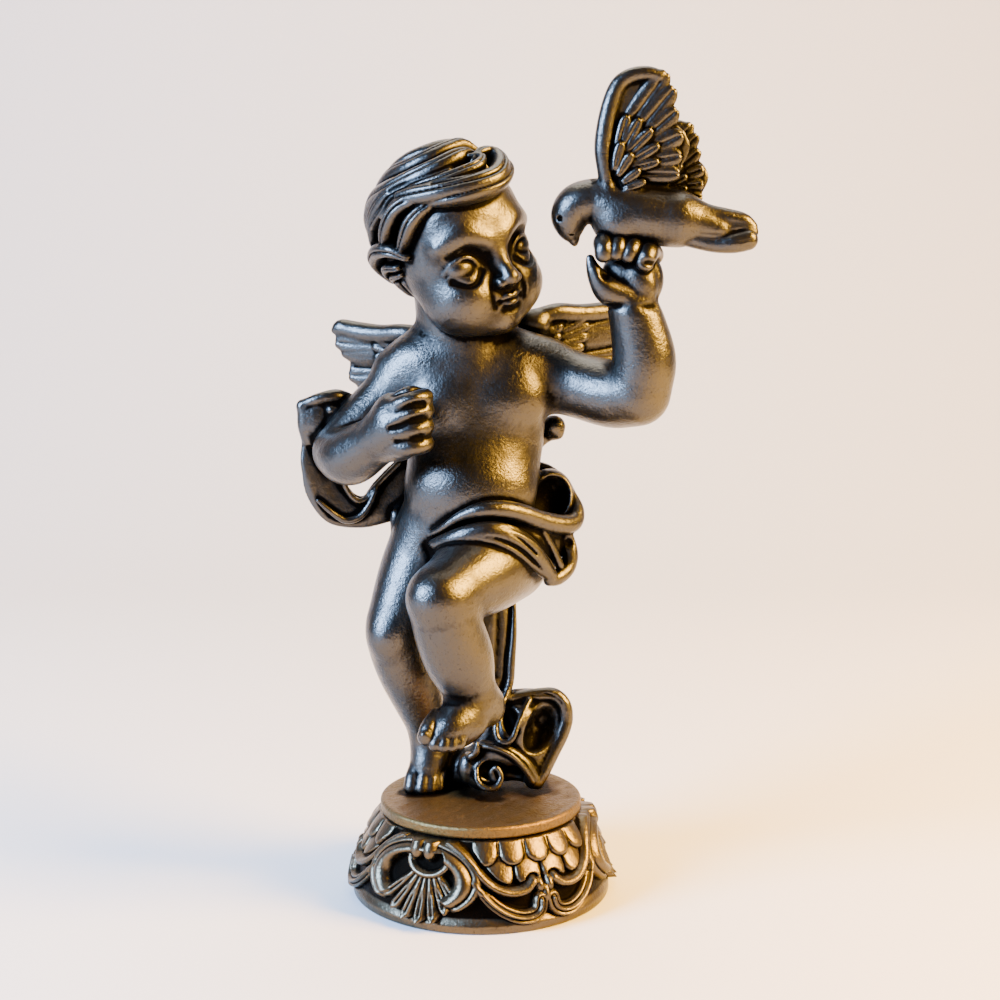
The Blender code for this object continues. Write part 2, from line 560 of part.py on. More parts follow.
def panel_relief(degrees, rise):
    place = unrolled(degrees, rise)
    height = 0.0
    tile = 0.20 * SOCLE_HEIGHT
    for middle in UPPER_SCALES:
        height = max(height, drop_relief(place, middle, 0.76, 0.97, tile))
    for middle in LOWER_SCALES:
        height = max(height, drop_relief(place, middle, 0.56, 0.80, tile))
    for side in (-1, 1):
        inner = [unrolled(turn * side, up) for turn, up in smooth_path(INNER_SWAG, 3)]
        outer = [unrolled(turn * side, up) for turn, up in smooth_path(OUTER_SWAG, 3)]
        height = max(height, 0.9 * round_ridge(near_curve(place, inner), 0.065 * SOCLE_HEIGHT))
        height = max(height, round_ridge(near_curve(place, outer), 0.095 * SOCLE_HEIGHT))
    leaf = unrolled(0, 0.42)
    height = max(height, 0.9 * round_ridge(math.hypot(place[0] - leaf[0], place[1] - leaf[1]),
                                           0.09 * SOCLE_HEIGHT))
    return height


def relief(degrees, rise):
    """Height of the carving as a share of its depth, at degrees from the front to +X."""
    turn = 360.0 / CARTOUCHES
    from_shell = (degrees - CARTOUCHE_TURN + turn / 2) % turn - turn / 2
    from_panel = (degrees - CARTOUCHE_TURN) % turn - turn / 2
    scale = 120.0 / turn
    return max(shell_relief(from_shell * scale, rise), panel_relief(from_panel * scale, rise))


def levelling_block():
    """A block between the socle's two flat ends, wider than the socle."""
    block = bmesh.new()
    across = 2 * (SOCLE_FOOT_DIAMETER + 2 * RELIEF_DEPTH)
    bmesh.ops.create_cube(block, size=1.0)
    bmesh.ops.scale(block, vec=(across, across, SOCLE_HEIGHT), verts=block.verts)
    bmesh.ops.translate(block, vec=(0, 0, SOCLE_HEIGHT / 2), verts=block.verts)
    thing = new_object("levelling_block", block)
    thing.hide_render = True
    thing.display_type = "WIRE"
    return thing


def rocaille_socle():
    """A turned skirt whose points are pushed out by the relief, then cut level at both ends."""
    body = bmesh.new()
    rim = RIM_HEIGHT / SOCLE_HEIGHT
    rises = [-SOCLE_SPARE, 0.06, rim, rim + 0.03]
    rises += [rises[-1] + (0.98 - rises[-1]) * step / 14 for step in range(1, 15)]
    rises.append(1.0 + SOCLE_SPARE)
    rings = []
    for rise in rises:
        ring = []
        for k in range(SOCLE_TURNS):
            degrees = 360.0 * k / SOCLE_TURNS
            out = skirt_radius(rise)
            if rise > 0.0:
                out += RELIEF_DEPTH * relief(degrees, min(rise, 1.0))
            turn = math.radians(degrees)
            ring.append(body.verts.new((out * math.sin(turn), -out * math.cos(turn), rise * SOCLE_HEIGHT)))
        rings.append(ring)
    for low, high in zip(rings, rings[1:]):
        for i in range(SOCLE_TURNS):
            j = (i + 1) % SOCLE_TURNS
            body.faces.new((low[i], low[j], high[j], high[i]))
    body.faces.new(list(reversed(rings[0])))
    body.faces.new(rings[-1])
    bmesh.ops.recalc_face_normals(body, faces=body.faces)
    socle = new_object("rocaille_socle", body, metal("antiqued_pewter_base", DUSTY_PEWTER, 0.4))
    thin = socle.modifiers.new("thin_out", "DECIMATE")
    thin.ratio = SOCLE_KEPT_FACES
    level = socle.modifiers.new("level_ends", "BOOLEAN")
    level.operation = "INTERSECT"
    level.solver = "EXACT"
    level.object = levelling_block()
    return socle


def main():
    clear_scene()
    rocaille_socle()
    cherub_with_dove()


main()
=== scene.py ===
"""Looks of the cherub figurine: antiqued pewter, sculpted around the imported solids.

Metres, +Z up, chest towards -Y. The sculpture is measured in percent of the figure's height
(x to the figure's left, y to its back, z up from the top of the ground disc). It is modelled as in
clay: balls, round limbs and flat strips are pressed on with soft seams, and grooves are cut in.
"""

import math

import bpy
import numpy as np
import openvdb
from mathutils import Matrix, Vector


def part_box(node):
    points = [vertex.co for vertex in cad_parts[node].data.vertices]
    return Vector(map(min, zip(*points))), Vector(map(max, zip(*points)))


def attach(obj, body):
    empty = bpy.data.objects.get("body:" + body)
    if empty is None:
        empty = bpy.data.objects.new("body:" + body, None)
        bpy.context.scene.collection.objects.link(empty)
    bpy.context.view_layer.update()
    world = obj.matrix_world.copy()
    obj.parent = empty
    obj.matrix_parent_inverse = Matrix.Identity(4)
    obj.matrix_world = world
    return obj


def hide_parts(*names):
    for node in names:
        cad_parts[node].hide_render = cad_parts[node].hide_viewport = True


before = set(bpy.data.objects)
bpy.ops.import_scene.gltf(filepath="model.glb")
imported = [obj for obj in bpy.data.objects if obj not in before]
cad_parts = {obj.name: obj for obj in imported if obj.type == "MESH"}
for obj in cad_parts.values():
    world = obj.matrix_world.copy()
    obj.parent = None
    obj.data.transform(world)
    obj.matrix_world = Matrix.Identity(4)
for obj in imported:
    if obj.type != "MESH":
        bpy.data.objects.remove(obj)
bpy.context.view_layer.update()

# Sizes of the real thing; the socle's height and the disc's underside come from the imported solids
MM = 0.001
FIGURE_HEIGHT = 123.5 * MM
PERCENT = FIGURE_HEIGHT / 100.0
GROUND_DIAMETER = 34.8 * MM
GROUND_THICKNESS = 2.0 * MM
GROUND_ROUNDING = 0.6 * MM
SOCLE_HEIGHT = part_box("rocaille_socle")[1].z
GROUND_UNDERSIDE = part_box("cherub_with_dove")[0].z
GROUND_TOP = GROUND_UNDERSIDE + GROUND_THICKNESS

# Cells of the sculpting grids, in percent of the figure's height
BODY_CELL = 0.22
HEAD_CELL = 0.15
DOVE_CELL = 0.15
WING_CELL = 0.18
TRIANGLES_A_PIECE = 190000
# No distance on a grid is larger than this
FAR = 6.0
# How far a hollow looks around itself for metal close above it, which darkens it: painted shade, and patina
# that rubbing can't reach
SHADE_AND_PATINA_REACHES = (0.5, 1.0, 2.0)
# Rounds of smoothing for fine and for broad hollows, the share moved in each, and a full hollow's depth
FINE_HOLLOW = 4
BROAD_HOLLOW = 15
SMOOTHING = 0.65
HOLLOW_DEPTH = 0.04 * MM


def smooth_path(stations, steps):
    """Points on a Catmull-Rom curve through the stations, with `steps` to each span."""
    rows = np.array(stations, float)
    rows = np.vstack([rows[:1], rows, rows[-1:]])
    path = []
    for before, start, end, after in zip(rows, rows[1:], rows[2:], rows[3:]):
        for step in range(steps):
            t = step / steps
            curve = 2 * start + (end - before) * t
            curve = curve + (2 * before - 5 * start + 4 * end - after) * t * t
            curve = curve + (3 * start - before - 3 * end + after) * t ** 3
            path.append(curve / 2)
    path.append(rows[-1])
    return np.array(path)


def unit(vector):
    """The vector at length 1."""
    return vector / max(float(np.linalg.norm(vector)), 1e-9)


class Cast:
    """Solid metal held as signed distances on a grid; lumps join softly and grooves are cut softly."""

    def __init__(self, low, high, cell):
        self.low = np.array(low, float)
        self.cell = cell
        counts = np.ceil((np.array(high) - self.low) / cell).astype(int) + 1
        self.distance = np.full(counts, FAR, np.float32)
        self.axes = [(self.low[i] + cell * np.arange(counts[i])).astype(np.float32) for i in range(3)]

    def window(self, low, high):
        """The slices of the grid between two corners."""
        cuts = []
        for axis, start, stop in zip(self.axes, low, high):
            first = max(int(np.searchsorted(axis, start)) - 1, 0)
            last = min(int(np.searchsorted(axis, stop)) + 1, len(axis))
            cuts.append(slice(first, max(first, last)))
        return tuple(cuts)

    def places(self, window, origin):
        """Coordinates of the window's cells, from an origin."""
        x, y, z = [axis[cut] - np.float32(o) for axis, cut, o in zip(self.axes, window, origin)]
        return x[:, None, None], y[None, :, None], z[None, None, :]

    def merge(self, window, lump, blend, cut=False):
        """Presses a lump on, or cuts it out, with a soft seam `blend` wide."""
        old = self.distance[window]
        sign = -1.0 if cut else 1.0
        old = old * sign
        near = np.maximum(blend - np.abs(old - lump), 0.0) / max(blend, 1e-6)
        merged = np.minimum(old, lump) - near * near * (blend / 4)
        self.distance[window] = merged * sign

    def ball(self, centre, radii, axes=None, blend=1.0, cut=False):
        """An ellipsoid with its radii along the three axes."""
        centre = np.array(centre, float)
        axes = np.eye(3) if axes is None else np.array([list(axis) for axis in axes], float)
        half = np.sqrt(((axes * np.array(radii)[:, None]) ** 2).sum(axis=0))
        reach = half + blend + 2 * self.cell
        window = self.window(centre - reach, centre + reach)
        x, y, z = self.places(window, centre)
        near, steep = 0.0, 1e-9
        for axis, radius in zip(axes, radii):
            along = x * np.float32(axis[0]) + y * np.float32(axis[1]) + z * np.float32(axis[2])
            near = near + (along / radius) ** 2
            steep = steep + (along / radius ** 2) ** 2
        near = np.sqrt(near)
        self.merge(window, near * (near - 1) / np.sqrt(steep), blend, cut)

    def limb(self, stations, blend=1.0, steps=9, cut=False):
        """A round bar through (x, y, z, radius)."""
        path = smooth_path(stations, steps)
        reach = path[:, 3].max() + blend + 2 * self.cell
        window = self.window((path[:, :3] - reach).min(axis=0), (path[:, :3] + reach).max(axis=0))
        lump = np.full([side.stop - side.start for side in window], FAR, np.float32)
        for a, b in zip(path, path[1:]):
            step = b[:3] - a[:3]
            length = float(step @ step)
            if length < 1e-9:
                continue
            wide = max(a[3], b[3]) + blend + 2 * self.cell
            part = self.window(np.minimum(a[:3], b[:3]) - wide, np.maximum(a[:3], b[:3]) + wide)
            x, y, z = self.places(part, a[:3])
            share = np.clip((x * step[0] + y * step[1] + z * step[2]) / length, 0, 1)
            x, y, z = x - share * step[0], y - share * step[1], z - share * step[2]
            gap = np.sqrt(x ** 2 + y ** 2 + z ** 2) - (a[3] + (b[3] - a[3]) * share)
            inner = tuple(slice(p.start - w.start, p.stop - w.start) for p, w in zip(part, window))
            lump[inner] = np.minimum(lump[inner], gap)
        self.merge(window, lump, blend, cut)

    def strip(self, stations, blend=0.5, steps=6, lines=0, depth=0.3):
        """A flat strip through (x, y, z, half width as x, y, z, half thickness), with ridges along it."""
        path = smooth_path(stations, steps)
        middle = path[:, :3]
        along = np.gradient(middle, axis=0)
        along /= np.linalg.norm(along, axis=1)[:, None] + 1e-9
        width = path[:, 3:6] - along * (path[:, 3:6] * along).sum(axis=1)[:, None]
        half = np.linalg.norm(width, axis=1) + 1e-6
        across = width / half[:, None]
        out = np.cross(along, across)
        thick = np.maximum(path[:, 6], 0.05)
        reach = np.maximum(half, thick) + blend + 2 * self.cell
        window = self.window((middle - reach.max()).min(axis=0), (middle + reach.max()).max(axis=0))
        lump = np.full([side.stop - side.start for side in window], FAR, np.float32)
        for i in range(len(path) - 1):
            step = middle[i + 1] - middle[i]
            length = float(step @ step)
            if length < 1e-9:
                continue
            wide = max(reach[i], reach[i + 1])
            part = self.window(np.minimum(middle[i], middle[i + 1]) - wide,
                               np.maximum(middle[i], middle[i + 1]) + wide)
            x, y, z = self.places(part, middle[i])
            share = np.clip((x * step[0] + y * step[1] + z * step[2]) / length, 0, 1)
            x, y, z = x - share * step[0], y - share * step[1], z - share * step[2]

            def measure(start, end):
                first = x * start[0] + y * start[1] + z * start[2]
                last = x * end[0] + y * end[1] + z * end[2]
                return first + (last - first) * share

            side = measure(across[i], across[i + 1])
            rise = measure(out[i], out[i + 1])
            past = measure(along[i], along[i + 1])
            broad = half[i] + (half[i + 1] - half[i]) * share
            deep = thick[i] + (thick[i + 1] - thick[i]) * share
            near = np.sqrt((side / broad) ** 2 + (rise / deep) ** 2 + (past / deep) ** 2)
            steep = (side / broad ** 2) ** 2 + (rise / deep ** 2) ** 2 + (past / deep ** 2) ** 2
            steep = np.sqrt(steep + 1e-9)
            gap = near * (near - 1) / steep
            if lines:
                wave = 1 - np.abs(np.sin((side / broad + 1) * (lines * math.pi / 2)))
                gap = gap + depth * deep * wave * wave
            inner = tuple(slice(p.start - w.start, p.stop - w.start) for p, w in zip(part, window))
            lump[inner] = np.minimum(lump[inner], gap)
        self.merge(window, lump, blend)

    def feather(self, start, end, width, thick, facing, blend=0.15, lines=2, depth=0.3):
        """A long rounded feather, its broad side to `facing`, ridged along its shaft."""
        start, end, facing = np.array(start, float), np.array(end, float), unit(np.array(facing, float))
        along = unit(end - start)
        across = unit(np.cross(along, facing))
        rows = []
        for share, wide in ((0.0, 0.7), (0.3, 0.95), (0.7, 1.0), (0.92, 0.86), (1.0, 0.55)):
            middle = start + (end - start) * share
            rows.append((*middle, *(across * width / 2 * wide), thick / 2 * (1.0 - 0.35 * share)))
        self.strip(rows, blend=blend, steps=3, lines=lines, depth=depth)

    def groove(self, stations, blend=0.25, steps=5):
        """Cuts a round channel along (x, y, z, radius)."""
        self.limb(stations, blend=blend, steps=steps, cut=True)


# Head: turned to the dove, nodding and tilted, in degrees; the face turns a little further than the hair
HEAD_CENTRE = Vector((-4.85, 2.0, 79.6))
HEAD_TURN = 29.0
HEAD_NOD = 18.0
HEAD_TILT = 24.0
FACE_TURN = 36.0
FACE_NOD = 14.0
FACE_TILT = 21.0
FACE_DROP = 0.5
SCALP = (9.3, 11.5, 9.9)
SCALP_DROP = 1.0


def head_frame(turn, nod, tilt):
    """The head's left, front and up."""
    axes = Matrix.Rotation(math.radians(-tilt), 3, "Y")
    axes = axes @ Matrix.Rotation(math.radians(turn), 3, "Z")
    axes = axes @ Matrix.Rotation(math.radians(nod), 3, "X")
    return axes @ Vector((1, 0, 0)), axes @ Vector((0, -1, 0)), axes @ Vector((0, 0, 1))


HEAD_AXES = head_frame(HEAD_TURN, HEAD_NOD, HEAD_TILT)
FACE_AXES = head_frame(FACE_TURN, FACE_NOD, FACE_TILT)


def in_head(left, front, up, axes=HEAD_AXES):
    """A point measured from the middle of the head."""
    return HEAD_CENTRE + axes[0] * left + axes[1] * front + axes[2] * up


def on_face(left, front, up):
    """A point measured along the face's own left, front and up."""
    return in_head(left, front, up - FACE_DROP, FACE_AXES)


def scalp_normal(turn, rise):
    """The way out of the scalp at a point of it."""
    turn, rise = math.radians(turn), math.radians(rise)
    left = math.sin(turn) * math.cos(rise) / SCALP[0]
    front = math.cos(turn) * math.cos(rise) / SCALP[1]
    up = math.sin(rise) / SCALP[2]
    return (HEAD_AXES[0] * left + HEAD_AXES[1] * front + HEAD_AXES[2] * up).normalized()


def on_scalp(turn, rise, lift=0.0):
    """A point on the scalp: degrees from the front to the head's left, and up."""
    turn, rise = math.radians(turn), math.radians(rise)
    left = math.sin(turn) * math.cos(rise) * (SCALP[0] + lift)
    front = math.cos(turn) * math.cos(rise) * (SCALP[1] + lift)
    up = math.sin(rise) * (SCALP[2] + lift)
    return in_head(left, front, up - SCALP_DROP)


def lock(cast, route, depth, blend):
    """A lock of two strands, laid on the scalp along (turn, rise, lift, half width, half thickness)."""
    points = [on_scalp(*station[:3]) for station in route]
    rows = []
    for i, (turn, rise, _, wide, thick) in enumerate(route):
        along = points[min(i + 1, len(points) - 1)] - points[max(i - 1, 0)]
        across = scalp_normal(turn, rise).cross(along).normalized() * wide
        rows.append((*points[i], *across, thick))
    cast.strip(rows, blend=blend, lines=2, depth=depth, steps=4)


def face(cast):
    """A calm child's face: high forehead, full cheeks, small chin, blank eyes."""
    # Skull, forehead, jaw, chin, the swell round the mouth, and the cheeks
    cast.ball(on_face(0, 2.4, -3.6), (8.9, 8.5, 8.6), FACE_AXES, 1.0)
    cast.ball(on_face(0, 4.6, 1.0), (7.9, 6.4, 7.0), FACE_AXES, 2.0)
    cast.ball(on_face(0.2, 5.2, -10.2), (6.0, 5.0, 4.9), FACE_AXES, 2.5)
    cast.ball(on_face(0, 8.3, -12.4), (2.5, 2.2, 2.0), FACE_AXES, 1.8)
    cast.ball(on_face(0, 8.7, -9.4), (2.8, 2.4, 2.4), FACE_AXES, 1.4)
    for side in (-1, 1):
        cast.ball(on_face(4.6 * side, 5.4, -9.2), (4.2, 4.5, 4.2), FACE_AXES, 2.5)
        cast.ball(on_face(4.0 * side, 7.0, -8.2), (3.0, 3.2, 2.9), FACE_AXES, 2.2)
    # Eye sockets
    for side in (-1, 1):
        cast.ball(on_face(4.6 * side, 11.0, -3.0), (2.9, 1.9, 1.9), FACE_AXES, 1.3, cut=True)
        cast.ball(on_face(2.4 * side, 11.4, -4.2), (1.2, 1.3, 1.5), FACE_AXES, 1.0, cut=True)
    # Brow, eyeball, upper and lower lid, and the creases under and over them
    for side in (-1, 1):
        cast.limb([(*on_face(1.5 * side, 10.2, -1.2), 0.6), (*on_face(4.3 * side, 9.5, 0.1), 0.7),
                   (*on_face(7.0 * side, 7.6, -0.9), 0.5)], blend=2.2)
        cast.ball(on_face(4.8 * side, 7.9, -4.2), (2.1, 1.7, 1.6), FACE_AXES, 0.3)
        cast.limb([(*on_face(2.8 * side, 9.2, -4.6), 0.18), (*on_face(3.6 * side, 9.5, -3.3), 0.26),
                   (*on_face(4.9 * side, 9.3, -2.7), 0.28), (*on_face(6.3 * side, 8.4, -3.3), 0.25),
                   (*on_face(7.0 * side, 7.3, -4.4), 0.18)], blend=0.45)
        cast.limb([(*on_face(2.8 * side, 9.3, -4.8), 0.14), (*on_face(4.0 * side, 9.6, -5.4), 0.18),
                   (*on_face(5.3 * side, 9.3, -5.55), 0.18), (*on_face(6.7 * side, 8.0, -4.9), 0.14)],
                  blend=0.35)
        cast.groove([(*on_face(3.0 * side, 10.0, -5.2), 0.05), (*on_face(4.1 * side, 10.1, -6.3), 0.07),
                     (*on_face(5.4 * side, 9.7, -6.5), 0.07), (*on_face(6.8 * side, 8.4, -5.6), 0.05)],
                    blend=0.9)
        cast.groove([(*on_face(2.9 * side, 10.2, -2.8), 0.2), (*on_face(4.7 * side, 10.1, -1.7), 0.25),
                     (*on_face(6.9 * side, 8.5, -2.4), 0.16)], blend=0.6)
    # Nose: bridge and tip, then the wings, nostrils and cheek folds, then the dip over the lip
    cast.limb([(*on_face(0, 9.9, -2.4), 0.8), (*on_face(0, 11.0, -4.8), 0.8),
               (*on_face(0, 11.9, -6.7), 1.2)], blend=1.3)
    for side in (-1, 1):
        cast.ball(on_face(1.25 * side, 11.2, -7.15), (0.85, 1.0, 0.75), FACE_AXES, 0.4)
        cast.ball(on_face(0.65 * side, 11.8, -7.8), (0.36, 0.45, 0.32), FACE_AXES, 0.3, cut=True)
        cast.groove([(*on_face(2.3 * side, 11.2, -7.0), 0.08), (*on_face(2.7 * side, 10.9, -8.6), 0.08),
                     (*on_face(2.5 * side, 10.6, -10.2), 0.05)], blend=0.8)
    cast.groove([(*on_face(0, 11.7, -8.1), 0.22), (*on_face(0, 11.5, -8.7), 0.24)], blend=0.4)
    # Mouth: upper lip, lower lip, the line between, its corners and the dip over the chin
    cast.limb([(*on_face(-1.6, 10.6, -9.6), 0.22), (*on_face(-0.65, 11.1, -9.2), 0.46),
               (*on_face(0, 11.2, -9.3), 0.4), (*on_face(0.65, 11.1, -9.2), 0.46),
               (*on_face(1.6, 10.6, -9.6), 0.22)], blend=0.3)
    cast.ball(on_face(0, 10.8, -10.2), (1.15, 0.85, 0.55), FACE_AXES, 0.35)
    cast.groove([(*on_face(-1.7, 10.7, -9.7), 0.12), (*on_face(-0.7, 11.5, -9.7), 0.15),
                 (*on_face(0, 11.7, -9.66), 0.15), (*on_face(0.7, 11.5, -9.7), 0.15),
                 (*on_face(1.7, 10.7, -9.7), 0.12)], blend=0.2)
    for side in (-1, 1):
        cast.ball(on_face(1.9 * side, 11.0, -9.8), (0.28, 0.4, 0.3), FACE_AXES, 0.45, cut=True)
    cast.groove([(*on_face(-1.1, 10.9, -11.0), 0.14), (*on_face(0, 11.1, -11.1), 0.2),
                 (*on_face(1.1, 10.9, -11.0), 0.14)], blend=1.0)


# Hair: each lock is (degrees round to the left, degrees up, lift, half width, half thickness).
# These are swept from the back over the crown to the curl over the brow
FRONT_LOCKS = (
    [(165, 26, -0.3, 2.2, 0.9), (160, 50, -0.1, 2.5, 1.2), (130, 68, 0.2, 2.4, 1.3), (95, 58, 0.4, 1.7, 1.2),
     (86, 44, 0.3, 1.2, 1.0), (84, 30, 0.0, 0.8, 0.7)],
    [(-168, 26, -0.3, 1.3, 0.8), (-164, 50, -0.1, 1.6, 1.1), (-155, 70, 0.1, 1.6, 1.2),
     (150, 84, 0.3, 1.5, 1.3), (86, 72, 0.7, 1.4, 1.4), (74, 60, 1.0, 1.1, 1.3), (72, 48, 0.8, 0.6, 0.9)],
    [(-148, 18, -0.3, 1.2, 0.8), (-142, 42, -0.2, 1.5, 1.1), (-124, 61, 0.0, 1.5, 1.2),
     (-79, 73, 0.2, 1.4, 1.3), (-21, 78, 0.5, 1.4, 1.4), (37, 74, 0.8, 1.3, 1.5), (66, 64, 1.1, 1.1, 1.5),
     (70, 54, 1.0, 0.6, 1.0)],
    [(-130, 2, -0.1, 1.0, 0.8), (-128, 20, 0.1, 1.6, 1.2), (-119, 36, 0.1, 1.9, 1.3),
     (-98, 46, 0.2, 1.9, 1.3), (-77, 54, 0.3, 1.6, 1.3), (-48, 60, 0.5, 1.5, 1.4), (-18, 62, 0.8, 1.4, 1.5),
     (10, 62, 1.0, 1.3, 1.6), (28, 60, 1.1, 0.9, 1.4), (38, 56, 1.0, 0.5, 1.0)],
    [(-114, 4, 0.0, 0.9, 0.9), (-110, 22, 0.1, 1.3, 1.2), (-98, 38, 0.2, 1.3, 1.3), (-82, 48, 0.3, 1.0, 1.2),
     (-60, 53, 0.4, 0.8, 1.2), (-36, 55, 0.5, 0.7, 1.1), (-12, 56, 0.6, 0.6, 1.0)],
    [(-72, 45, 0.2, 0.6, 0.9), (-48, 48, 0.6, 1.0, 1.3), (-26, 48, 0.9, 1.1, 1.5), (-4, 47, 1.3, 1.1, 1.6),
     (14, 46, 1.7, 1.0, 1.6), (27, 49, 1.7, 0.7, 1.3), (24, 55, 1.4, 0.4, 0.9)],
    [(-92, 30, 0.1, 0.7, 0.8), (-78, 39, 0.4, 1.2, 1.2), (-56, 42, 0.7, 1.5, 1.5), (-34, 41, 1.0, 1.6, 1.7),
     (-14, 39, 1.3, 1.6, 1.8), (4, 36, 1.8, 1.6, 1.8), (20, 35, 2.2, 1.5, 1.7), (34, 38, 2.4, 1.3, 1.6),
     (44, 44, 2.3, 1.0, 1.4), (38, 51, 2.0, 0.8, 1.2), (24, 52, 1.5, 0.5, 0.9)],
    [(-42, 36, 0.4, 0.7, 1.1), (-24, 34, 0.9, 1.0, 1.4), (-7, 32, 1.4, 1.1, 1.6), (10, 30, 1.8, 1.1, 1.6),
     (24, 30, 2.1, 1.0, 1.5), (38, 33, 2.2, 0.8, 1.4), (50, 40, 2.0, 0.6, 1.1), (50, 47, 1.8, 0.4, 0.8)],
)
# Deep partings between the locks: a route of (turn, rise, lift) and the radius of the cut
HAIR_PARTINGS = (
    (((-82, 46, 1.6), (-70, 50, 1.6), (-54, 52, 1.8), (-36, 53, 2.0), (-18, 54, 2.3), (0, 55, 2.6),
      (18, 55, 2.8)), 0.35),
    (((-76, 42, 1.6), (-84, 36, 1.4), (-90, 27, 1.2), (-97, 16, 1.0), (-108, 4, 0.8)), 0.6),
    (((-86, 59, 1.4), (-60, 68, 1.5), (-21, 72, 1.9), (20, 70, 2.3), (50, 66, 2.6)), 0.3),
    (((-34, 45, 2.5), (-14, 43, 2.9), (4, 42, 3.3), (18, 42, 3.7)), 0.25),
)

# Right temple and the curls round the right ear
TEMPLE_LOCKS = (
    [(-38, 40, 0.4, 0.7, 1.0), (-56, 39, 0.6, 1.1, 1.3), (-69, 34, 0.8, 1.2, 1.4), (-77, 26, 0.8, 1.2, 1.4),
     (-83, 16, 0.7, 1.0, 1.2), (-88, 6, 0.4, 0.6, 0.8)],
    [(-36, 36, 0.3, 0.6, 0.9), (-50, 31, 0.4, 1.0, 1.2), (-60, 23, 0.5, 1.2, 1.3), (-67, 13, 0.4, 1.0, 1.1),
     (-74, 4, 0.2, 0.6, 0.7)],
    [(-84, 38, 0.0, 0.5, 0.8), (-94, 31, 0.1, 0.6, 0.9), (-105, 20, 0.1, 0.6, 0.9), (-120, 5, 0.0, 0.5, 0.8)],
    [(-71, 0, 0.2, 0.7, 0.9), (-81, 5, 0.7, 1.1, 1.2), (-95, 3, 0.8, 1.2, 1.3), (-108, -6, 0.7, 1.1, 1.3),
     (-113, -16, 0.5, 0.9, 1.1), (-111, -26, 0.3, 0.6, 0.8)],
    [(-82, -9, 0.5, 0.6, 0.8), (-93, -10, 0.6, 0.7, 0.9), (-101, -17, 0.5, 0.6, 0.8),
     (-106, -26, 0.3, 0.5, 0.7)],
    [(-84, -17, 0.2, 0.5, 0.7), (-95, -20, 0.3, 0.6, 0.8), (-103, -26, 0.2, 0.5, 0.7)],
)

# Long plain locks hanging behind the right ear, round the back and down to the left ear
BACK_LOCKS = (
    [(-98, -28, 0.1, 0.8, 0.8), (-96, -38, 0.1, 0.8, 0.8), (-90, -45, 0.0, 0.5, 0.6)],
    [(-86, -26, 0.0, 0.6, 0.7), (-84, -36, 0.0, 0.6, 0.7), (-78, -42, -0.1, 0.4, 0.5)],
    [(-112, -24, -0.1, 1.0, 0.8), (-110, -36, 0.0, 1.0, 0.8), (-103, -45, 0.0, 0.6, 0.6)],
    [(-124, 4, -0.1, 1.2, 0.8), (-128, -16, 0.0, 1.4, 0.9), (-120, -34, 0.0, 1.1, 0.8),
     (-112, -44, 0.0, 0.6, 0.6)],
    [(-138, 8, -0.1, 1.3, 0.8), (-143, -14, 0.0, 1.5, 0.9), (-138, -34, 0.0, 1.2, 0.8),
     (-130, -46, 0.0, 0.6, 0.6)],
    [(-154, 12, -0.1, 1.4, 0.8), (-158, -12, 0.0, 1.6, 0.9), (-157, -34, 0.0, 1.3, 0.8),
     (-150, -48, 0.0, 0.6, 0.6)],
    [(-172, 14, -0.1, 1.5, 0.8), (-174, -12, 0.0, 1.7, 0.9), (-176, -34, 0.0, 1.3, 0.8),
     (-170, -50, 0.0, 0.6, 0.6)],
    [(168, 14, -0.1, 1.5, 0.8), (166, -12, 0.0, 1.7, 0.9), (164, -34, 0.0, 1.3, 0.8),
     (170, -50, 0.0, 0.6, 0.6)],
    [(150, 12, -0.1, 1.4, 0.8), (147, -12, 0.0, 1.6, 0.9), (144, -34, 0.0, 1.2, 0.8),
     (150, -47, 0.0, 0.6, 0.6)],
    [(132, 14, -0.1, 1.4, 0.8), (128, -8, 0.0, 1.6, 0.9), (124, -30, 0.0, 1.2, 0.8),
     (130, -42, 0.0, 0.6, 0.6)],
    [(116, 26, -0.1, 1.3, 0.8), (112, 6, 0.1, 1.5, 0.9), (106, -14, 0.1, 1.2, 0.8),
     (108, -28, 0.0, 0.6, 0.6)],
    [(98, 32, 0.0, 1.2, 0.8), (96, 14, 0.2, 1.3, 0.9), (88, -2, 0.3, 1.1, 0.9), (80, -12, 0.1, 0.6, 0.6)],
    [(108, -2, 0.3, 0.8, 0.9), (94, 0, 0.6, 1.0, 1.0), (84, -8, 0.5, 0.9, 0.9), (90, -18, 0.3, 0.8, 0.8),
     (104, -18, 0.2, 0.6, 0.7)],
)


def hair(cast):
    """The scalp, the locks laid on it from the back to the front, and the partings cut between them."""
    cast.ball(in_head(0, -1.2, -0.4), (SCALP[0] - 0.5, SCALP[1] - 1.7, SCALP[2] - 0.7), HEAD_AXES, 0.5)
    for route in BACK_LOCKS:
        lock(cast, route, depth=0.25, blend=0.4)
    for route in FRONT_LOCKS:
        lock(cast, route, depth=0.2, blend=0.1)
    for route in TEMPLE_LOCKS:
        lock(cast, route, depth=0.3, blend=0.12)
    for route, radius in HAIR_PARTINGS:
        cast.groove([(*on_scalp(turn, rise, lift), radius) for turn, rise, lift in route], blend=0.3)


def head():
    """Face and hair, down to where the neck takes over."""
    cast = Cast((-19.5, -15.0, 62.5), (11.5, 17.5, 92.5), HEAD_CELL)
    face(cast)
    hair(cast)
    return cast


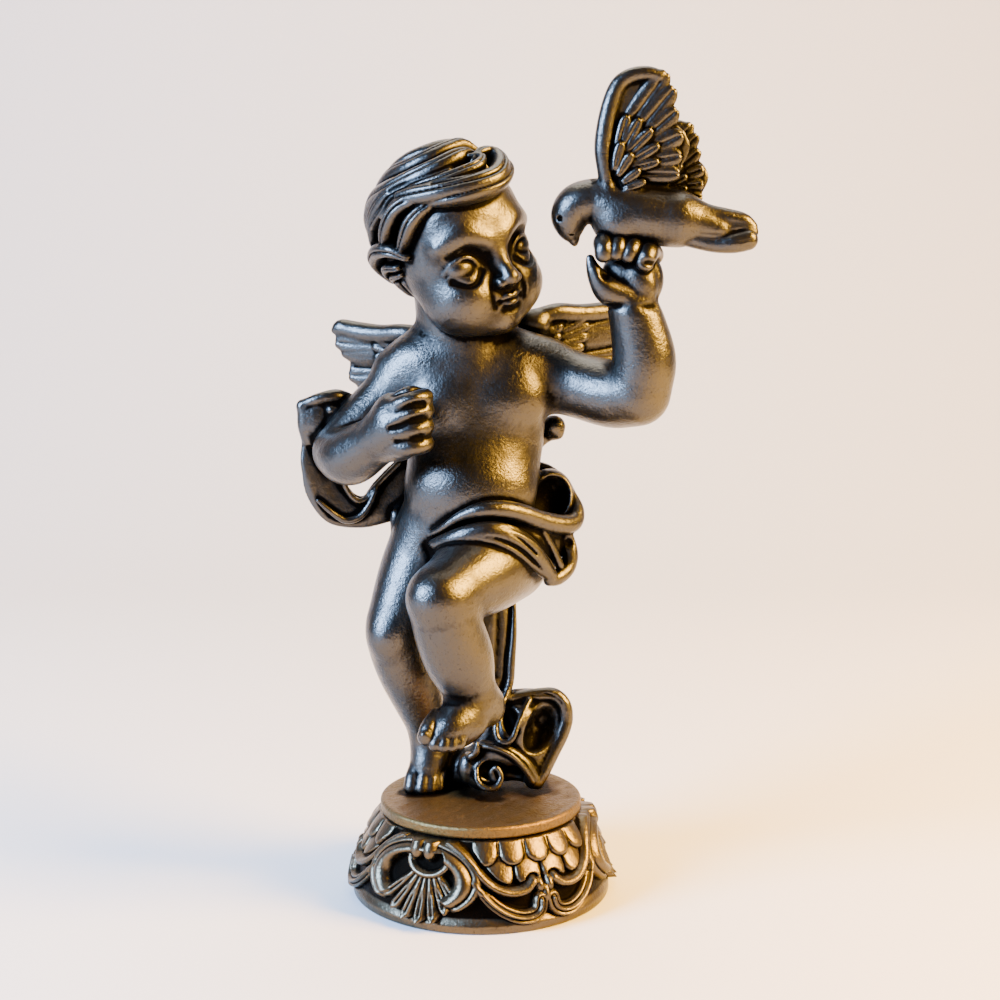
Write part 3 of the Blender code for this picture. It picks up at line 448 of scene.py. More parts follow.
def torso(cast):
    """Ribs, belly, seat and shoulders, the neck, the chest, and the shallow line of the spine."""
    # Chest, ribs, belly and hips, then the two halves of the seat
    cast.ball((-0.6, 3.0, 54.6), (9.6, 6.2, 8.4), blend=2.0)
    cast.ball((-0.6, 3.0, 49.4), (9.2, 6.4, 7.4), blend=2.0)
    cast.ball((-1.2, 1.8, 43.4), (9.4, 7.4, 8.6), blend=2.0)
    cast.ball((-1.8, 3.0, 37.0), (9.6, 7.2, 7.0), blend=2.0)
    cast.ball((-6.0, 6.0, 34.8), (5.4, 5.2, 5.8), blend=1.4)
    cast.ball((3.0, 6.2, 34.4), (5.6, 5.2, 5.8), blend=1.4)
    # Shoulders and neck, and the slopes between them
    cast.limb([(-9.6, 3.8, 58.0, 4.0), (-1.0, 4.0, 60.0, 4.2), (9.0, 4.4, 58.8, 4.2)], blend=2.5)
    cast.limb([(-2.0, 4.0, 60.0, 6.0), (-2.6, 3.4, 65.0, 6.0), (-3.4, 2.6, 70.0, 5.6)], blend=2.5)
    cast.ball((-7.4, 3.0, 61.2), (4.4, 3.6, 3.0), blend=2.5)
    cast.ball((4.6, 3.4, 61.4), (4.4, 3.4, 2.8), blend=2.5)
    cast.limb([(-7.6, 3.6, 62.4, 2.6), (-12.0, 3.6, 59.6, 2.6)], blend=2.5)
    cast.limb([(2.6, 3.8, 62.8, 2.4), (9.0, 4.2, 60.6, 2.4)], blend=2.5)
    # Top of the chest, the breasts and the shoulder blades
    cast.ball((-8.4, 1.9, 60.0), (3.4, 2.6, 3.4), blend=2.0)
    cast.ball((-5.8, 1.0, 60.0), (3.6, 2.5, 3.2), blend=2.2)
    cast.ball((4.6, 1.4, 59.4), (4.2, 2.5, 3.0), blend=2.2)
    for centre in ((-5.0, -0.2, 55.6), (4.2, 0.0, 56.0)):
        cast.ball(centre, (4.6, 2.9, 3.8), blend=2.2)
    for side in (-1, 1):
        cast.ball((-0.6 + side * 5.0, 8.0, 57.0), (3.4, 2.2, 4.6), blend=2.0)
    # The line of the spine, and the cleft below it
    cast.groove([(-0.6, 10.6, 56.0, 0.3), (-0.8, 10.2, 50.0, 0.5), (-1.4, 10.6, 41.0, 0.4)], blend=1.6)
    cast.groove([(-1.6, 11.6, 37.6, 0.4), (-1.6, 11.4, 33.0, 0.5), (-1.4, 9.6, 29.6, 0.5)], blend=0.8)


def right_arm(cast):
    """Bent across the body, with a loose fist on the chest."""
    # Upper arm, forearm and wrist
    cast.limb([(-9.8, 3.6, 58.0, 4.3), (-13.4, 3.4, 55.0, 3.9), (-16.8, 2.4, 51.6, 3.7),
               (-19.2, 1.2, 48.6, 3.7)], blend=1.4)
    cast.limb([(-19.2, 1.2, 48.4, 3.8), (-17.6, -1.6, 48.2, 4.0), (-14.8, -4.6, 50.0, 3.5),
               (-12.8, -6.6, 51.4, 3.1)], blend=0.3)
    cast.limb([(-12.8, -6.6, 51.8, 3.1), (-10.6, -8.0, 52.8, 3.4)], blend=0.8)
    # Back of the hand, four fingers curled over, and the thumb's end above them
    cast.ball((-11.0, -7.6, 52.9), (3.0, 3.2, 4.5),
              ((0.97, 0.0, 0.24), (0.0, 1.0, 0.0), (-0.24, 0.0, 0.97)), 1.8)
    fingers = ((56.0, 56.9, 1.15), (54.3, 55.2, 1.25), (52.4, 53.1, 1.25), (50.2, 50.8, 1.2))
    for start, end, thick in fingers:
        cast.limb([(-11.6, -9.2, start - 0.2, 0.7), (-10.2, -10.3, start + 0.1, thick),
                   (-8.4, -10.6, end - 0.2, thick), (-7.2, -9.4, end, thick), (-7.2, -7.2, end, thick - 0.1)],
                  blend=0.7)
    cast.limb([(-10.6, -8.6, 57.0, 0.7), (-9.0, -8.6, 57.6, 0.8), (-7.6, -7.4, 57.2, 0.8)], blend=0.25)
    # Gaps between the fingers
    for route in (((-11.0, 55.2), (-9.8, 55.7), (-8.4, 56.1), (-7.0, 56.2)),
                  ((-11.6, 53.1), (-10.4, 53.4), (-8.8, 54.0), (-6.4, 54.5)),
                  ((-10.9, 51.3), (-9.2, 51.5), (-7.4, 51.9))):
        depth = np.interp([across for across, _ in route], (-11.6, -9.0, -6.4), (-11.5, -12.0, -11.2))
        cast.groove([(across, float(y), rise, 0.3 + 0.12 * i)
                     for i, ((across, rise), y) in enumerate(zip(route, depth))], blend=0.35)


def left_arm(cast):
    """Raised from the elbow; the dove stands on the curled fingers, and the thumb points up."""
    # Upper arm and forearm
    cast.limb([(8.8, 4.4, 58.6, 4.5), (13.5, 2.8, 57.4, 4.5), (18.2, 0.4, 56.4, 4.6),
               (21.2, -1.4, 56.8, 4.4)], blend=1.8)
    cast.limb([(21.2, -1.4, 56.8, 4.4), (22.0, -2.4, 61.0, 4.3), (21.2, -3.0, 65.4, 3.8),
               (20.4, -3.4, 68.0, 3.4)], blend=0.6)
    # Palm, heel of the hand and thumb, and the hollow between thumb and fingers
    cast.ball((20.2, -3.2, 72.0), (4.2, 2.6, 4.4), blend=0.6)
    cast.ball((21.3, -4.9, 71.8), (1.9, 1.5, 2.9), ((0.94, 0.0, 0.34), (0.0, 1.0, 0.0), (-0.34, 0.0, 0.94)),
              0.7)
    cast.limb([(19.2, -4.4, 69.8, 2.1), (17.0, -4.9, 70.6, 1.9), (15.6, -5.3, 72.2, 1.35),
               (14.8, -5.5, 73.7, 0.85), (14.5, -5.5, 74.8, 0.55)], blend=0.4)
    cast.ball((16.9, -7.6, 73.1), (1.3, 2.2, 1.5), ((0.9, 0.0, -0.42), (0.0, 1.0, 0.0), (0.42, 0.0, 0.9)),
              0.3, cut=True)
    # Four fingers curled forward under the dove
    fingers = ((16.3, 76.9, 1.45, -0.1), (18.3, 77.0, 1.3, -0.5), (20.2, 76.7, 1.3, -0.8),
               (22.1, 75.8, 1.5, -0.5))
    for across, rise, thick, slant in fingers:
        cast.limb([(across + 0.9, -1.6, rise - 0.6, thick), (across + 0.4, -3.4, rise - 0.1, thick),
                   (across, -5.2, rise - 0.1, thick), (across + slant / 2, -6.3, rise - 0.8, thick - 0.15),
                   (across + slant, -6.5, rise - 1.5, thick - 0.25)], blend=0.25)
    # Creases under the fingertips, in the palm and round the wrist
    cast.groove([(17.4, -8.0, 74.4, 0.3), (19.4, -8.3, 74.4, 0.5), (21.6, -7.8, 74.2, 0.4),
                 (23.0, -6.6, 74.2, 0.2)], blend=0.5)
    cast.groove([(18.3, -7.4, 73.6, 0.15), (19.6, -7.3, 71.8, 0.1)], blend=0.3)
    cast.groove([(16.8, -5.6, 68.6, 0.12), (20.0, -7.2, 68.6, 0.2), (23.6, -5.4, 68.6, 0.12)], blend=1.0)


def standing_leg(cast):
    """The right leg, a little bent, flat on the ground."""
    # Thigh, calf and kneecap
    cast.limb([(-6.2, 3.6, 36.4, 6.0), (-8.4, 2.6, 31.4, 5.7), (-10.6, 0.6, 26.4, 4.8),
               (-11.6, -0.4, 23.4, 4.3), (-10.4, 1.2, 18.4, 4.3), (-8.8, 3.0, 13.0, 3.6),
               (-7.4, 4.4, 8.0, 2.7)], blend=1.4)
    cast.ball((-12.6, -2.4, 23.2), (2.4, 2.2, 2.6), blend=1.6)
    # Ankle, foot and heel
    cast.limb([(-7.4, 4.6, 8.0, 2.7), (-7.3, 3.8, 5.2, 2.8), (-7.5, 3.0, 3.2, 2.6), (-7.8, 2.6, 1.6, 2.3)],
              blend=1.2)
    cast.ball((-5.4, 6.0, 5.0), (2.6, 2.4, 3.0), blend=1.0)
    cast.ball((-5.0, 6.2, 1.8), (2.8, 2.6, 2.2), blend=1.0)
    # Toes
    for across, front, thick in ((-9.8, 0.9, 1.15), (-8.3, 0.3, 1.0), (-7.0, 0.4, 0.85), (-5.9, 0.9, 0.75)):
        cast.limb([(across + 0.7, front + 2.0, 3.0, thick), (across + 0.2, front + 0.6, 1.9, thick),
                   (across, front, 0.7, thick)], blend=0.35)


def raised_leg(cast):
    """The left leg, its knee lifted in front and its foot hanging before the other ankle."""
    # Thigh, calf and kneecap
    cast.limb([(3.2, 1.8, 33.6, 6.4), (0.0, -3.6, 32.8, 6.2), (-3.0, -8.0, 31.6, 5.0),
               (-4.9, -10.4, 30.4, 4.6)], blend=1.0)
    cast.limb([(-4.9, -10.4, 30.4, 4.6), (-4.2, -9.8, 26.4, 4.7), (-2.9, -8.4, 22.0, 4.7),
               (-1.8, -7.2, 18.4, 3.8), (-1.2, -6.8, 16.2, 3.4)], blend=1.0)
    cast.ball((-6.0, -12.2, 30.6), (2.8, 2.6, 3.0), blend=1.8)
    # Foot and heel, the sole under the toes, and the instep
    cast.limb([(-0.4, -5.8, 15.0, 3.2), (-1.8, -8.0, 14.0, 3.2), (-3.6, -10.0, 12.8, 2.9),
               (-4.9, -11.0, 11.9, 2.3)], blend=1.4)
    cast.ball((0.8, -4.8, 14.0), (2.6, 2.6, 2.8), blend=1.2)
    cast.ball((-2.0, -9.4, 11.8), (3.0, 2.0, 1.6), ((0.86, 0.0, 0.5), (0.0, 1.0, 0.0), (-0.5, 0.0, 0.86)),
              1.0)
    cast.ball((-4.2, -10.0, 12.8), (2.7, 1.9, 1.5),
              ((0.97, 0.0, -0.24), (0.0, 1.0, 0.0), (0.24, 0.0, 0.97)), 1.0)
    # Toes, and the nail of the big one
    toes = ((-7.1, -11.8, 12.0, 1.2), (-5.85, -12.3, 11.1, 0.95), (-4.75, -12.5, 10.95, 0.9),
            (-3.7, -12.3, 10.9, 0.85), (-2.7, -11.9, 11.0, 0.8))
    for across, front, rise, thick in toes:
        cast.limb([(across + 1.4, front + 2.4, rise + 2.0, thick),
                   (across + 0.4, front + 0.3, rise + 1.1, thick), (across, front - 0.4, rise, thick)],
                  blend=0.12)
    cast.ball((-7.3, -13.1, 12.4), (0.6, 0.35, 0.6), blend=0.1)


def hip_drapery(cast):
    """Cloth round the hips: a band behind, a thick rolled edge, and folds that end in a point."""
    # The band, from the front round the left hip and across the back
    cast.strip([(-3.0, -5.0, 36.4, 0.4, 0.2, 1.8, 1.2), (2.8, -4.6, 37.4, 0.6, 0.4, 2.8, 1.4),
                (7.6, -2.0, 36.2, 0.6, 0.6, 3.4, 1.5), (10.0, 1.4, 35.4, 0.4, 0.2, 3.6, 1.5),
                (9.2, 5.0, 36.4, 0.2, 0.2, 3.6, 1.4), (5.0, 9.0, 38.0, 0.0, 0.2, 3.6, 1.4),
                (-2.0, 10.0, 38.6, 0.0, 0.2, 3.4, 1.4), (-8.6, 8.0, 38.6, 0.0, 0.2, 3.2, 1.4),
                (-11.6, 4.0, 37.6, 0.0, 0.2, 2.6, 1.0)], blend=0.5)
    # The bunch at the left hip, and the hollow in it
    cast.ball((9.6, 4.6, 41.2), (3.6, 3.6, 4.4), blend=0.5)
    cast.ball((9.9, 1.6, 42.0), (2.7, 2.9, 3.5), ((0.9, 0.0, -0.42), (0.0, 1.0, 0.0), (0.42, 0.0, 0.9)),
              0.4, cut=True)
    # The thick rolled edge, from the right thigh up over the left hip
    cast.limb([(-8.2, -0.6, 36.6, 0.35), (-5.4, -4.7, 38.6, 0.5), (-2.6, -6.2, 40.6, 0.75),
               (0.2, -6.7, 41.6, 1.1), (2.8, -6.2, 41.6, 1.25), (5.4, -4.9, 40.9, 1.3),
               (8.1, -2.9, 39.6, 1.35), (10.9, -0.6, 38.6, 1.4), (12.8, 1.4, 38.6, 1.3),
               (13.4, 3.0, 40.0, 1.0), (12.9, 4.4, 41.8, 0.6), (11.4, 5.8, 44.0, 0.5),
               (9.2, 7.0, 45.4, 0.6), (6.0, 8.6, 45.6, 0.8)], blend=0.25)
    # The fold under it that falls to the point, with two lines cut along it
    cast.strip([(-7.0, -3.8, 36.2, 0.3, 0.2, 0.7, 0.5), (-3.2, -6.9, 38.0, 0.4, 0.2, 1.2, 0.9),
                (0.6, -7.6, 38.7, 0.4, 0.3, 1.5, 1.0), (3.6, -7.0, 38.0, 0.9, 0.4, 1.5, 1.0),
                (6.4, -5.3, 36.0, 1.1, 0.5, 1.4, 1.0), (8.6, -3.6, 33.4, 1.0, 0.4, 1.0, 0.9),
                (9.6, -2.7, 31.9, 0.7, 0.3, 0.6, 0.8)], blend=0.2)
    cast.groove([(-0.6, -8.9, 38.4, 0.15), (2.2, -8.5, 38.0, 0.25), (5.2, -7.0, 36.4, 0.3),
                 (7.4, -5.4, 34.2, 0.25), (8.6, -4.6, 32.8, 0.12)], blend=0.3)
    cast.groove([(3.6, -8.3, 39.0, 0.12), (5.6, -7.0, 37.6, 0.2), (7.6, -5.4, 35.4, 0.15)], blend=0.2)
    # The outer folds below the left hip
    cast.strip([(8.2, -2.6, 38.4, 0.5, 0.2, 0.3, 0.8), (9.6, -1.8, 35.8, 0.5, 0.2, 0.3, 0.8),
                (10.8, -1.2, 33.2, 0.5, 0.2, 0.3, 0.8)], blend=0.2)
    cast.limb([(11.8, 0.8, 37.2, 0.9), (12.4, 0.8, 34.4, 1.1), (12.0, 0.2, 32.4, 1.1),
               (10.6, -1.4, 31.4, 1.1), (9.4, -2.6, 31.2, 0.8)], blend=0.3)
    # Deep shadows between the folds
    cast.groove([(-3.6, -7.9, 39.6, 0.2), (0.6, -8.8, 40.2, 0.35), (3.6, -8.1, 39.8, 0.5),
                 (6.0, -6.6, 38.9, 0.6), (8.0, -4.9, 37.2, 0.55), (9.4, -3.8, 34.8, 0.5),
                 (10.3, -3.2, 32.8, 0.3)], blend=0.3)
    cast.groove([(11.2, -1.4, 36.6, 0.6), (12.2, -0.4, 36.0, 0.8)], blend=0.4)
    # The hollow under the front end
    cast.ball((-7.1, -4.8, 35.2), (2.3, 2.2, 0.75),
              ((0.45, 0.0, -0.89), (0.0, 1.0, 0.0), (0.89, 0.0, 0.45)), 0.8, cut=True)


def swag_of_cloth(cast):
    """The bunch of cloth behind the bent elbow, the swag that hangs from it, and its run round the back."""
    # The bunch, the folds over its top and down its sides, and the hollow between them
    cast.ball((-21.2, 4.2, 52.8), (2.9, 1.8, 3.4), blend=0.4)
    cast.ball((-22.6, 4.2, 52.8), (2.3, 1.7, 3.0), blend=0.4)
    cast.strip([(-24.4, 3.6, 54.6, 0.4, 0.1, 1.0, 0.9), (-22.4, 3.2, 55.4, 0.4, 0.1, 1.0, 1.0),
                (-20.2, 3.4, 55.8, 0.4, 0.3, 1.0, 1.0), (-18.6, 4.2, 55.4, 0.4, 0.3, 0.9, 0.9)], blend=0.6)
    cast.strip([(-24.6, 3.6, 54.0, 0.6, 0.0, 0.0, 0.9), (-24.3, 3.6, 51.8, 1.0, 0.1, 0.0, 1.1),
                (-23.8, 3.9, 49.9, 1.1, 0.1, 0.0, 1.0)], blend=0.9)
    cast.strip([(-23.0, 3.2, 53.6, 1.2, 0.0, 0.3, 0.7), (-22.4, 3.3, 51.4, 1.2, 0.1, 0.3, 0.9),
                (-22.6, 3.8, 49.6, 1.0, 0.1, 0.1, 0.7)], blend=0.9)
    cast.strip([(-20.6, 2.6, 54.0, 0.5, 0.0, 0.5, 0.6), (-19.4, 2.9, 53.6, 0.7, 0.1, 0.7, 0.7),
                (-18.2, 3.4, 53.0, 0.5, 0.1, 0.5, 0.6)], blend=0.3)
    cast.groove([(-21.4, 2.0, 54.7, 0.35), (-21.2, 1.8, 52.4, 0.45), (-21.2, 2.0, 50.4, 0.4)], blend=0.4)
    # The swag, from the bunch down under the elbow and round to the back, and its hollow
    cast.strip([(-23.8, 4.6, 49.6, 0.9, 0.6, 0.2, 0.9), (-23.2, 4.4, 46.4, 1.7, 0.8, 0.2, 0.8),
                (-21.8, 4.6, 43.0, 2.6, 0.8, 0.9, 0.8), (-19.6, 4.9, 40.2, 1.9, 0.4, 2.0, 0.9),
                (-16.2, 5.4, 39.4, 0.4, 0.4, 2.3, 0.9), (-13.0, 6.0, 41.0, -1.2, 0.4, 3.2, 1.0),
                (-9.6, 6.6, 42.8, -1.2, 0.4, 4.4, 1.3), (-5.6, 7.6, 45.4, -1.0, 0.2, 4.6, 1.4)],
               blend=0.3, steps=8)
    cast.groove([(-21.8, 2.8, 45.4, 0.6), (-20.6, 2.7, 42.8, 1.0), (-18.9, 2.9, 40.9, 1.0),
                 (-17.4, 3.3, 40.6, 0.5)], blend=0.6)
    # Its inner edge, the fold in the middle and the outer hem
    cast.limb([(-19.4, 3.2, 45.6, 0.4), (-18.8, 3.6, 43.2, 0.4), (-17.6, 4.0, 41.4, 0.42),
               (-16.4, 4.3, 41.2, 0.42), (-15.0, 4.7, 42.6, 0.42), (-13.4, 5.0, 44.3, 0.42),
               (-11.2, 5.4, 46.4, 0.5)], blend=0.35)
    cast.limb([(-22.6, 2.9, 41.4, 0.3), (-20.8, 3.0, 39.8, 0.42), (-18.8, 3.4, 38.5, 0.5),
               (-16.8, 3.7, 39.0, 0.5), (-15.4, 4.0, 40.8, 0.45), (-14.5, 4.4, 42.8, 0.35)], blend=0.3)
    cast.limb([(-24.3, 3.9, 49.0, 0.35), (-24.6, 3.8, 46.6, 0.35), (-23.8, 3.8, 44.0, 0.4),
               (-22.8, 4.0, 40.6, 0.45), (-21.2, 4.3, 38.5, 0.45), (-18.8, 4.9, 37.9, 0.45),
               (-14.8, 5.6, 38.0, 0.5), (-12.0, 6.2, 38.8, 0.5)], blend=0.4)
    # Its run across the back to the left hip
    cast.strip([(-5.6, 8.2, 46.0, 0.0, 0.4, 3.0, 1.4), (-1.0, 9.6, 44.0, 0.0, 0.4, 3.0, 1.4),
                (4.0, 9.0, 43.0, 0.0, 0.4, 3.0, 1.2)], blend=0.5, lines=2)
    # The small knot beside the left ribs, and the cloth that leads to it
    cast.ball((10.2, 7.4, 51.2), (1.7, 1.6, 1.6), blend=0.4)
    cast.limb([(4.6, 8.4, 45.6, 1.1), (6.6, 7.8, 47.8, 1.2), (8.2, 7.6, 49.4, 1.2), (9.4, 7.6, 50.0, 1.0),
               (10.8, 7.0, 50.2, 0.8)], blend=0.5)


def hanging_drapery(cast):
    """The long fall of cloth behind the legs, the loop it makes on the ground, and its curled end."""
    # The fall behind the legs, with a hollow down it
    cast.strip([(1.4, 8.8, 36.0, 3.4, 0.6, 0.0, 1.7), (1.4, 7.6, 30.0, 3.0, 0.8, 0.0, 1.5),
                (1.6, 6.2, 24.0, 2.8, 0.6, 0.0, 1.4), (1.8, 5.6, 17.0, 2.5, 0.4, 0.0, 1.4),
                (1.6, 5.2, 12.0, 2.2, 0.4, 0.0, 1.8), (2.0, 4.8, 6.0, 3.0, 0.4, 0.0, 2.2)], blend=0.5)
    cast.groove([(2.4, 5.4, 30.0, 0.2), (2.6, 4.6, 23.0, 0.5), (2.2, 3.8, 16.0, 0.4)], blend=0.6)
    # The heap on the ground and the loop standing on it, closed at the back
    cast.limb([(-4.6, 4.8, 1.6, 2.2), (-0.6, 4.4, 3.0, 2.8), (3.6, 4.4, 3.8, 3.2), (7.0, 4.6, 3.0, 2.4)],
              blend=0.8)
    cast.limb([(2.2, 5.6, 10.8, 2.2), (6.0, 5.8, 11.4, 2.3), (9.2, 5.9, 10.8, 2.3), (10.2, 5.5, 8.2, 2.2),
               (8.8, 4.4, 5.2, 2.4), (7.0, 3.0, 3.0, 2.3)], blend=1.0)
    cast.ball((5.6, 3.0, 7.4), (3.6, 2.4, 4.8), blend=1.0)
    # The loop's two hollows, its rolled rim and the line along the rim
    cast.ball((3.9, 0.6, 10.6), (1.4, 2.9, 2.6), ((0.95, 0.0, 0.3), (0.0, 1.0, 0.0), (-0.3, 0.0, 0.95)),
              0.4, cut=True)
    cast.ball((8.9, 1.2, 9.4), (2.3, 3.6, 4.2), ((0.86, 0.0, -0.5), (0.0, 1.0, 0.0), (0.5, 0.0, 0.86)), 0.5,
              cut=True)
    cast.limb([(3.6, 3.8, 12.8, 0.8), (6.0, 4.2, 13.0, 0.9), (8.4, 4.5, 13.2, 0.95), (10.4, 4.6, 13.1, 1.0),
               (11.8, 4.4, 11.8, 1.0), (12.1, 4.2, 9.6, 1.0), (11.4, 3.6, 7.4, 1.0), (10.1, 2.8, 5.0, 1.0),
               (8.9, 1.9, 2.8, 1.0), (7.9, 1.4, 1.2, 1.0)], blend=0.35)
    cast.groove([(4.4, 2.9, 13.0, 0.12), (7.2, 3.4, 13.3, 0.16), (9.6, 3.7, 13.4, 0.16),
                 (11.3, 3.5, 12.4, 0.16), (11.9, 3.1, 10.6, 0.1)], blend=0.2)
    # The hem of the fall, which curls forward and up inside the loop
    cast.limb([(4.7, 6.4, 27.0, 0.3), (4.6, 5.4, 22.0, 0.5), (4.3, 4.6, 18.0, 0.6), (4.1, 4.2, 15.2, 0.6),
               (3.4, 3.2, 13.2, 0.55), (2.5, 1.6, 11.4, 0.45),
               (2.1, 0.6, 9.2, 0.45), (2.5, 0.1, 7.9, 0.45), (3.5, -0.2, 7.5, 0.45), (4.5, 0.0, 8.2, 0.42),
               (5.2, 0.8, 9.8, 0.42), (6.0, 2.0, 11.4, 0.45), (6.8, 3.2, 12.6, 0.5)], blend=0.35)
    # The fold in front of the loop, and its hem
    cast.strip([(0.0, 0.2, 6.6, 0.4, 0.4, 1.2, 0.6), (3.4, -0.2, 5.8, 0.5, 0.3, 1.3, 0.8),
                (6.0, 0.4, 3.8, 0.9, 0.2, 1.0, 0.9), (7.4, 1.0, 1.4, 0.9, 0.2, 0.6, 0.9)], blend=0.3)
    cast.limb([(-0.1, -0.6, 7.2, 0.4), (2.0, -1.2, 7.0, 0.4), (4.2, -1.2, 6.0, 0.45), (6.0, -0.7, 4.0, 0.5),
               (7.2, 0.0, 1.8, 0.5)], blend=0.25)
    # The curled end: its body and hollows, the scroll and its heart, and the raised tip
    cast.ball((0.4, 1.0, 3.2), (3.0, 2.5, 3.0), blend=0.5)
    cast.ball((-1.8, 0.6, 3.6), (1.5, 1.7, 2.3), blend=0.25)
    cast.ball((4.6, 0.4, 2.9), (1.6, 1.8, 1.7), blend=0.35, cut=True)
    cast.ball((1.2, -1.5, 3.8), (1.5, 1.8, 1.35), blend=0.3, cut=True)
    cast.limb([(-0.6, -1.3, 3.8, 0.35), (-0.4, -1.8, 2.4, 0.42), (0.8, -2.2, 1.5, 0.45),
               (2.2, -2.0, 1.7, 0.45), (2.9, -1.5, 3.0, 0.4), (2.2, -1.2, 4.2, 0.4), (1.5, -1.0, 3.6, 0.4)],
              blend=0.2)
    cast.limb([(1.6, -0.8, 3.2, 0.6), (2.0, -1.0, 2.4, 0.5)], blend=0.2)
    cast.strip([(-1.4, -1.0, 5.7, 0.9, 0.1, 0.2, 0.5), (-0.6, -1.3, 6.6, 0.6, 0.1, 0.1, 0.5),
                (-0.5, -1.5, 8.0, 0.15, 0.0, 0.0, 0.2)], blend=0.12)


def body():
    """The child from the neck down, with its drapery, in one casting."""
    cast = Cast((-25.5, -16.0, -1.2), (27.5, 15.5, 80.0), BODY_CELL)
    for build in (torso, right_arm, left_arm, standing_leg, raised_leg, hip_drapery, swag_of_cloth,
                  hanging_drapery):
        build(cast)
    return cast


def wings():
    """Both small wings behind the shoulders: a plump leading edge over two lobes of long feathers."""
    cast = Cast((-23.5, 3.5, 50.0), (22.5, 18.5, 73.0), WING_CELL)
    for side, lift in ((-1, 0.0), (1, 2.9)):
        def place(out, back, up):
            """A point by its distance out from the spine; the left wing is lifted and a little wider."""
            raised = up + lift * min(max((out - 3.0) / 6.0, 0.0), 1.0)
            wider = 0.25 * lift / 2.9 * max(out - 9.0, 0.0)
            return (-0.6 + side * (out + wider), back, raised)

        facing = (side * 0.3, -1.0, 0.1)
        # Root of the wing, and two lobes of long feathers, the lower lobe first
        cast.limb([(*place(4.0, 7.4, 58.0), 3.0), (*place(8.0, 8.6, 60.4), 2.6)], blend=1.0)
        upper = ((19.4, 13.1, 64.0), (19.5, 13.1, 62.6), (18.6, 12.9, 61.3), (17.2, 12.6, 60.6))
        lower = ((17.4, 12.8, 59.2), (17.6, 12.8, 57.9), (16.4, 12.5, 56.8), (14.0, 11.8, 55.9))
        for tip in reversed(lower):
            cast.feather(place(5.0, 8.6, 58.6), place(*tip), 3.8, 2.5, facing, depth=0.2, blend=0.4)
        for tip in reversed(upper):
            cast.feather(place(6.0, 8.2, 61.8), place(*tip), 3.8, 2.5, facing, depth=0.2, blend=0.4)
        # Two rows of short feathers over their roots
        for tip in ((13.4, 10.1, 59.2), (13.8, 10.3, 60.7), (14.0, 10.4, 62.2), (13.8, 10.2, 63.5)):
            cast.feather(place(6.0, 7.6, 60.8), place(*tip), 2.6, 2.4, facing, depth=0.15)
        for tip in ((10.2, 8.2, 59.4), (10.8, 8.3, 60.8), (11.0, 8.4, 62.2)):
            cast.feather(place(5.4, 6.8, 60.8), place(*tip), 2.4, 2.2, facing, lines=1, depth=0.15)
        # The leading edge, and the lump where it leaves the back
        cast.strip([(*place(7.6, 7.2, 64.0), 0.1, 0.2, 1.3, 1.2),
                    (*place(10.6, 8.4, 64.2), 0.1, 0.2, 1.3, 1.3),
                    (*place(13.4, 10.2, 64.0), 0.1, 0.2, 1.3, 1.3),
                    (*place(16.8, 12.2, 64.2), 0.1, 0.3, 1.4, 1.3),
                    (*place(19.2, 13.0, 64.7), 0.1, 0.3, 1.2, 1.1),
                    (*place(20.0, 13.3, 64.4), 0.1, 0.2, 0.7, 0.8)], blend=0.25)
        cast.ball(place(7.8, 7.2, 63.2), (2.4, 1.8, 1.8), blend=0.8)
    return cast


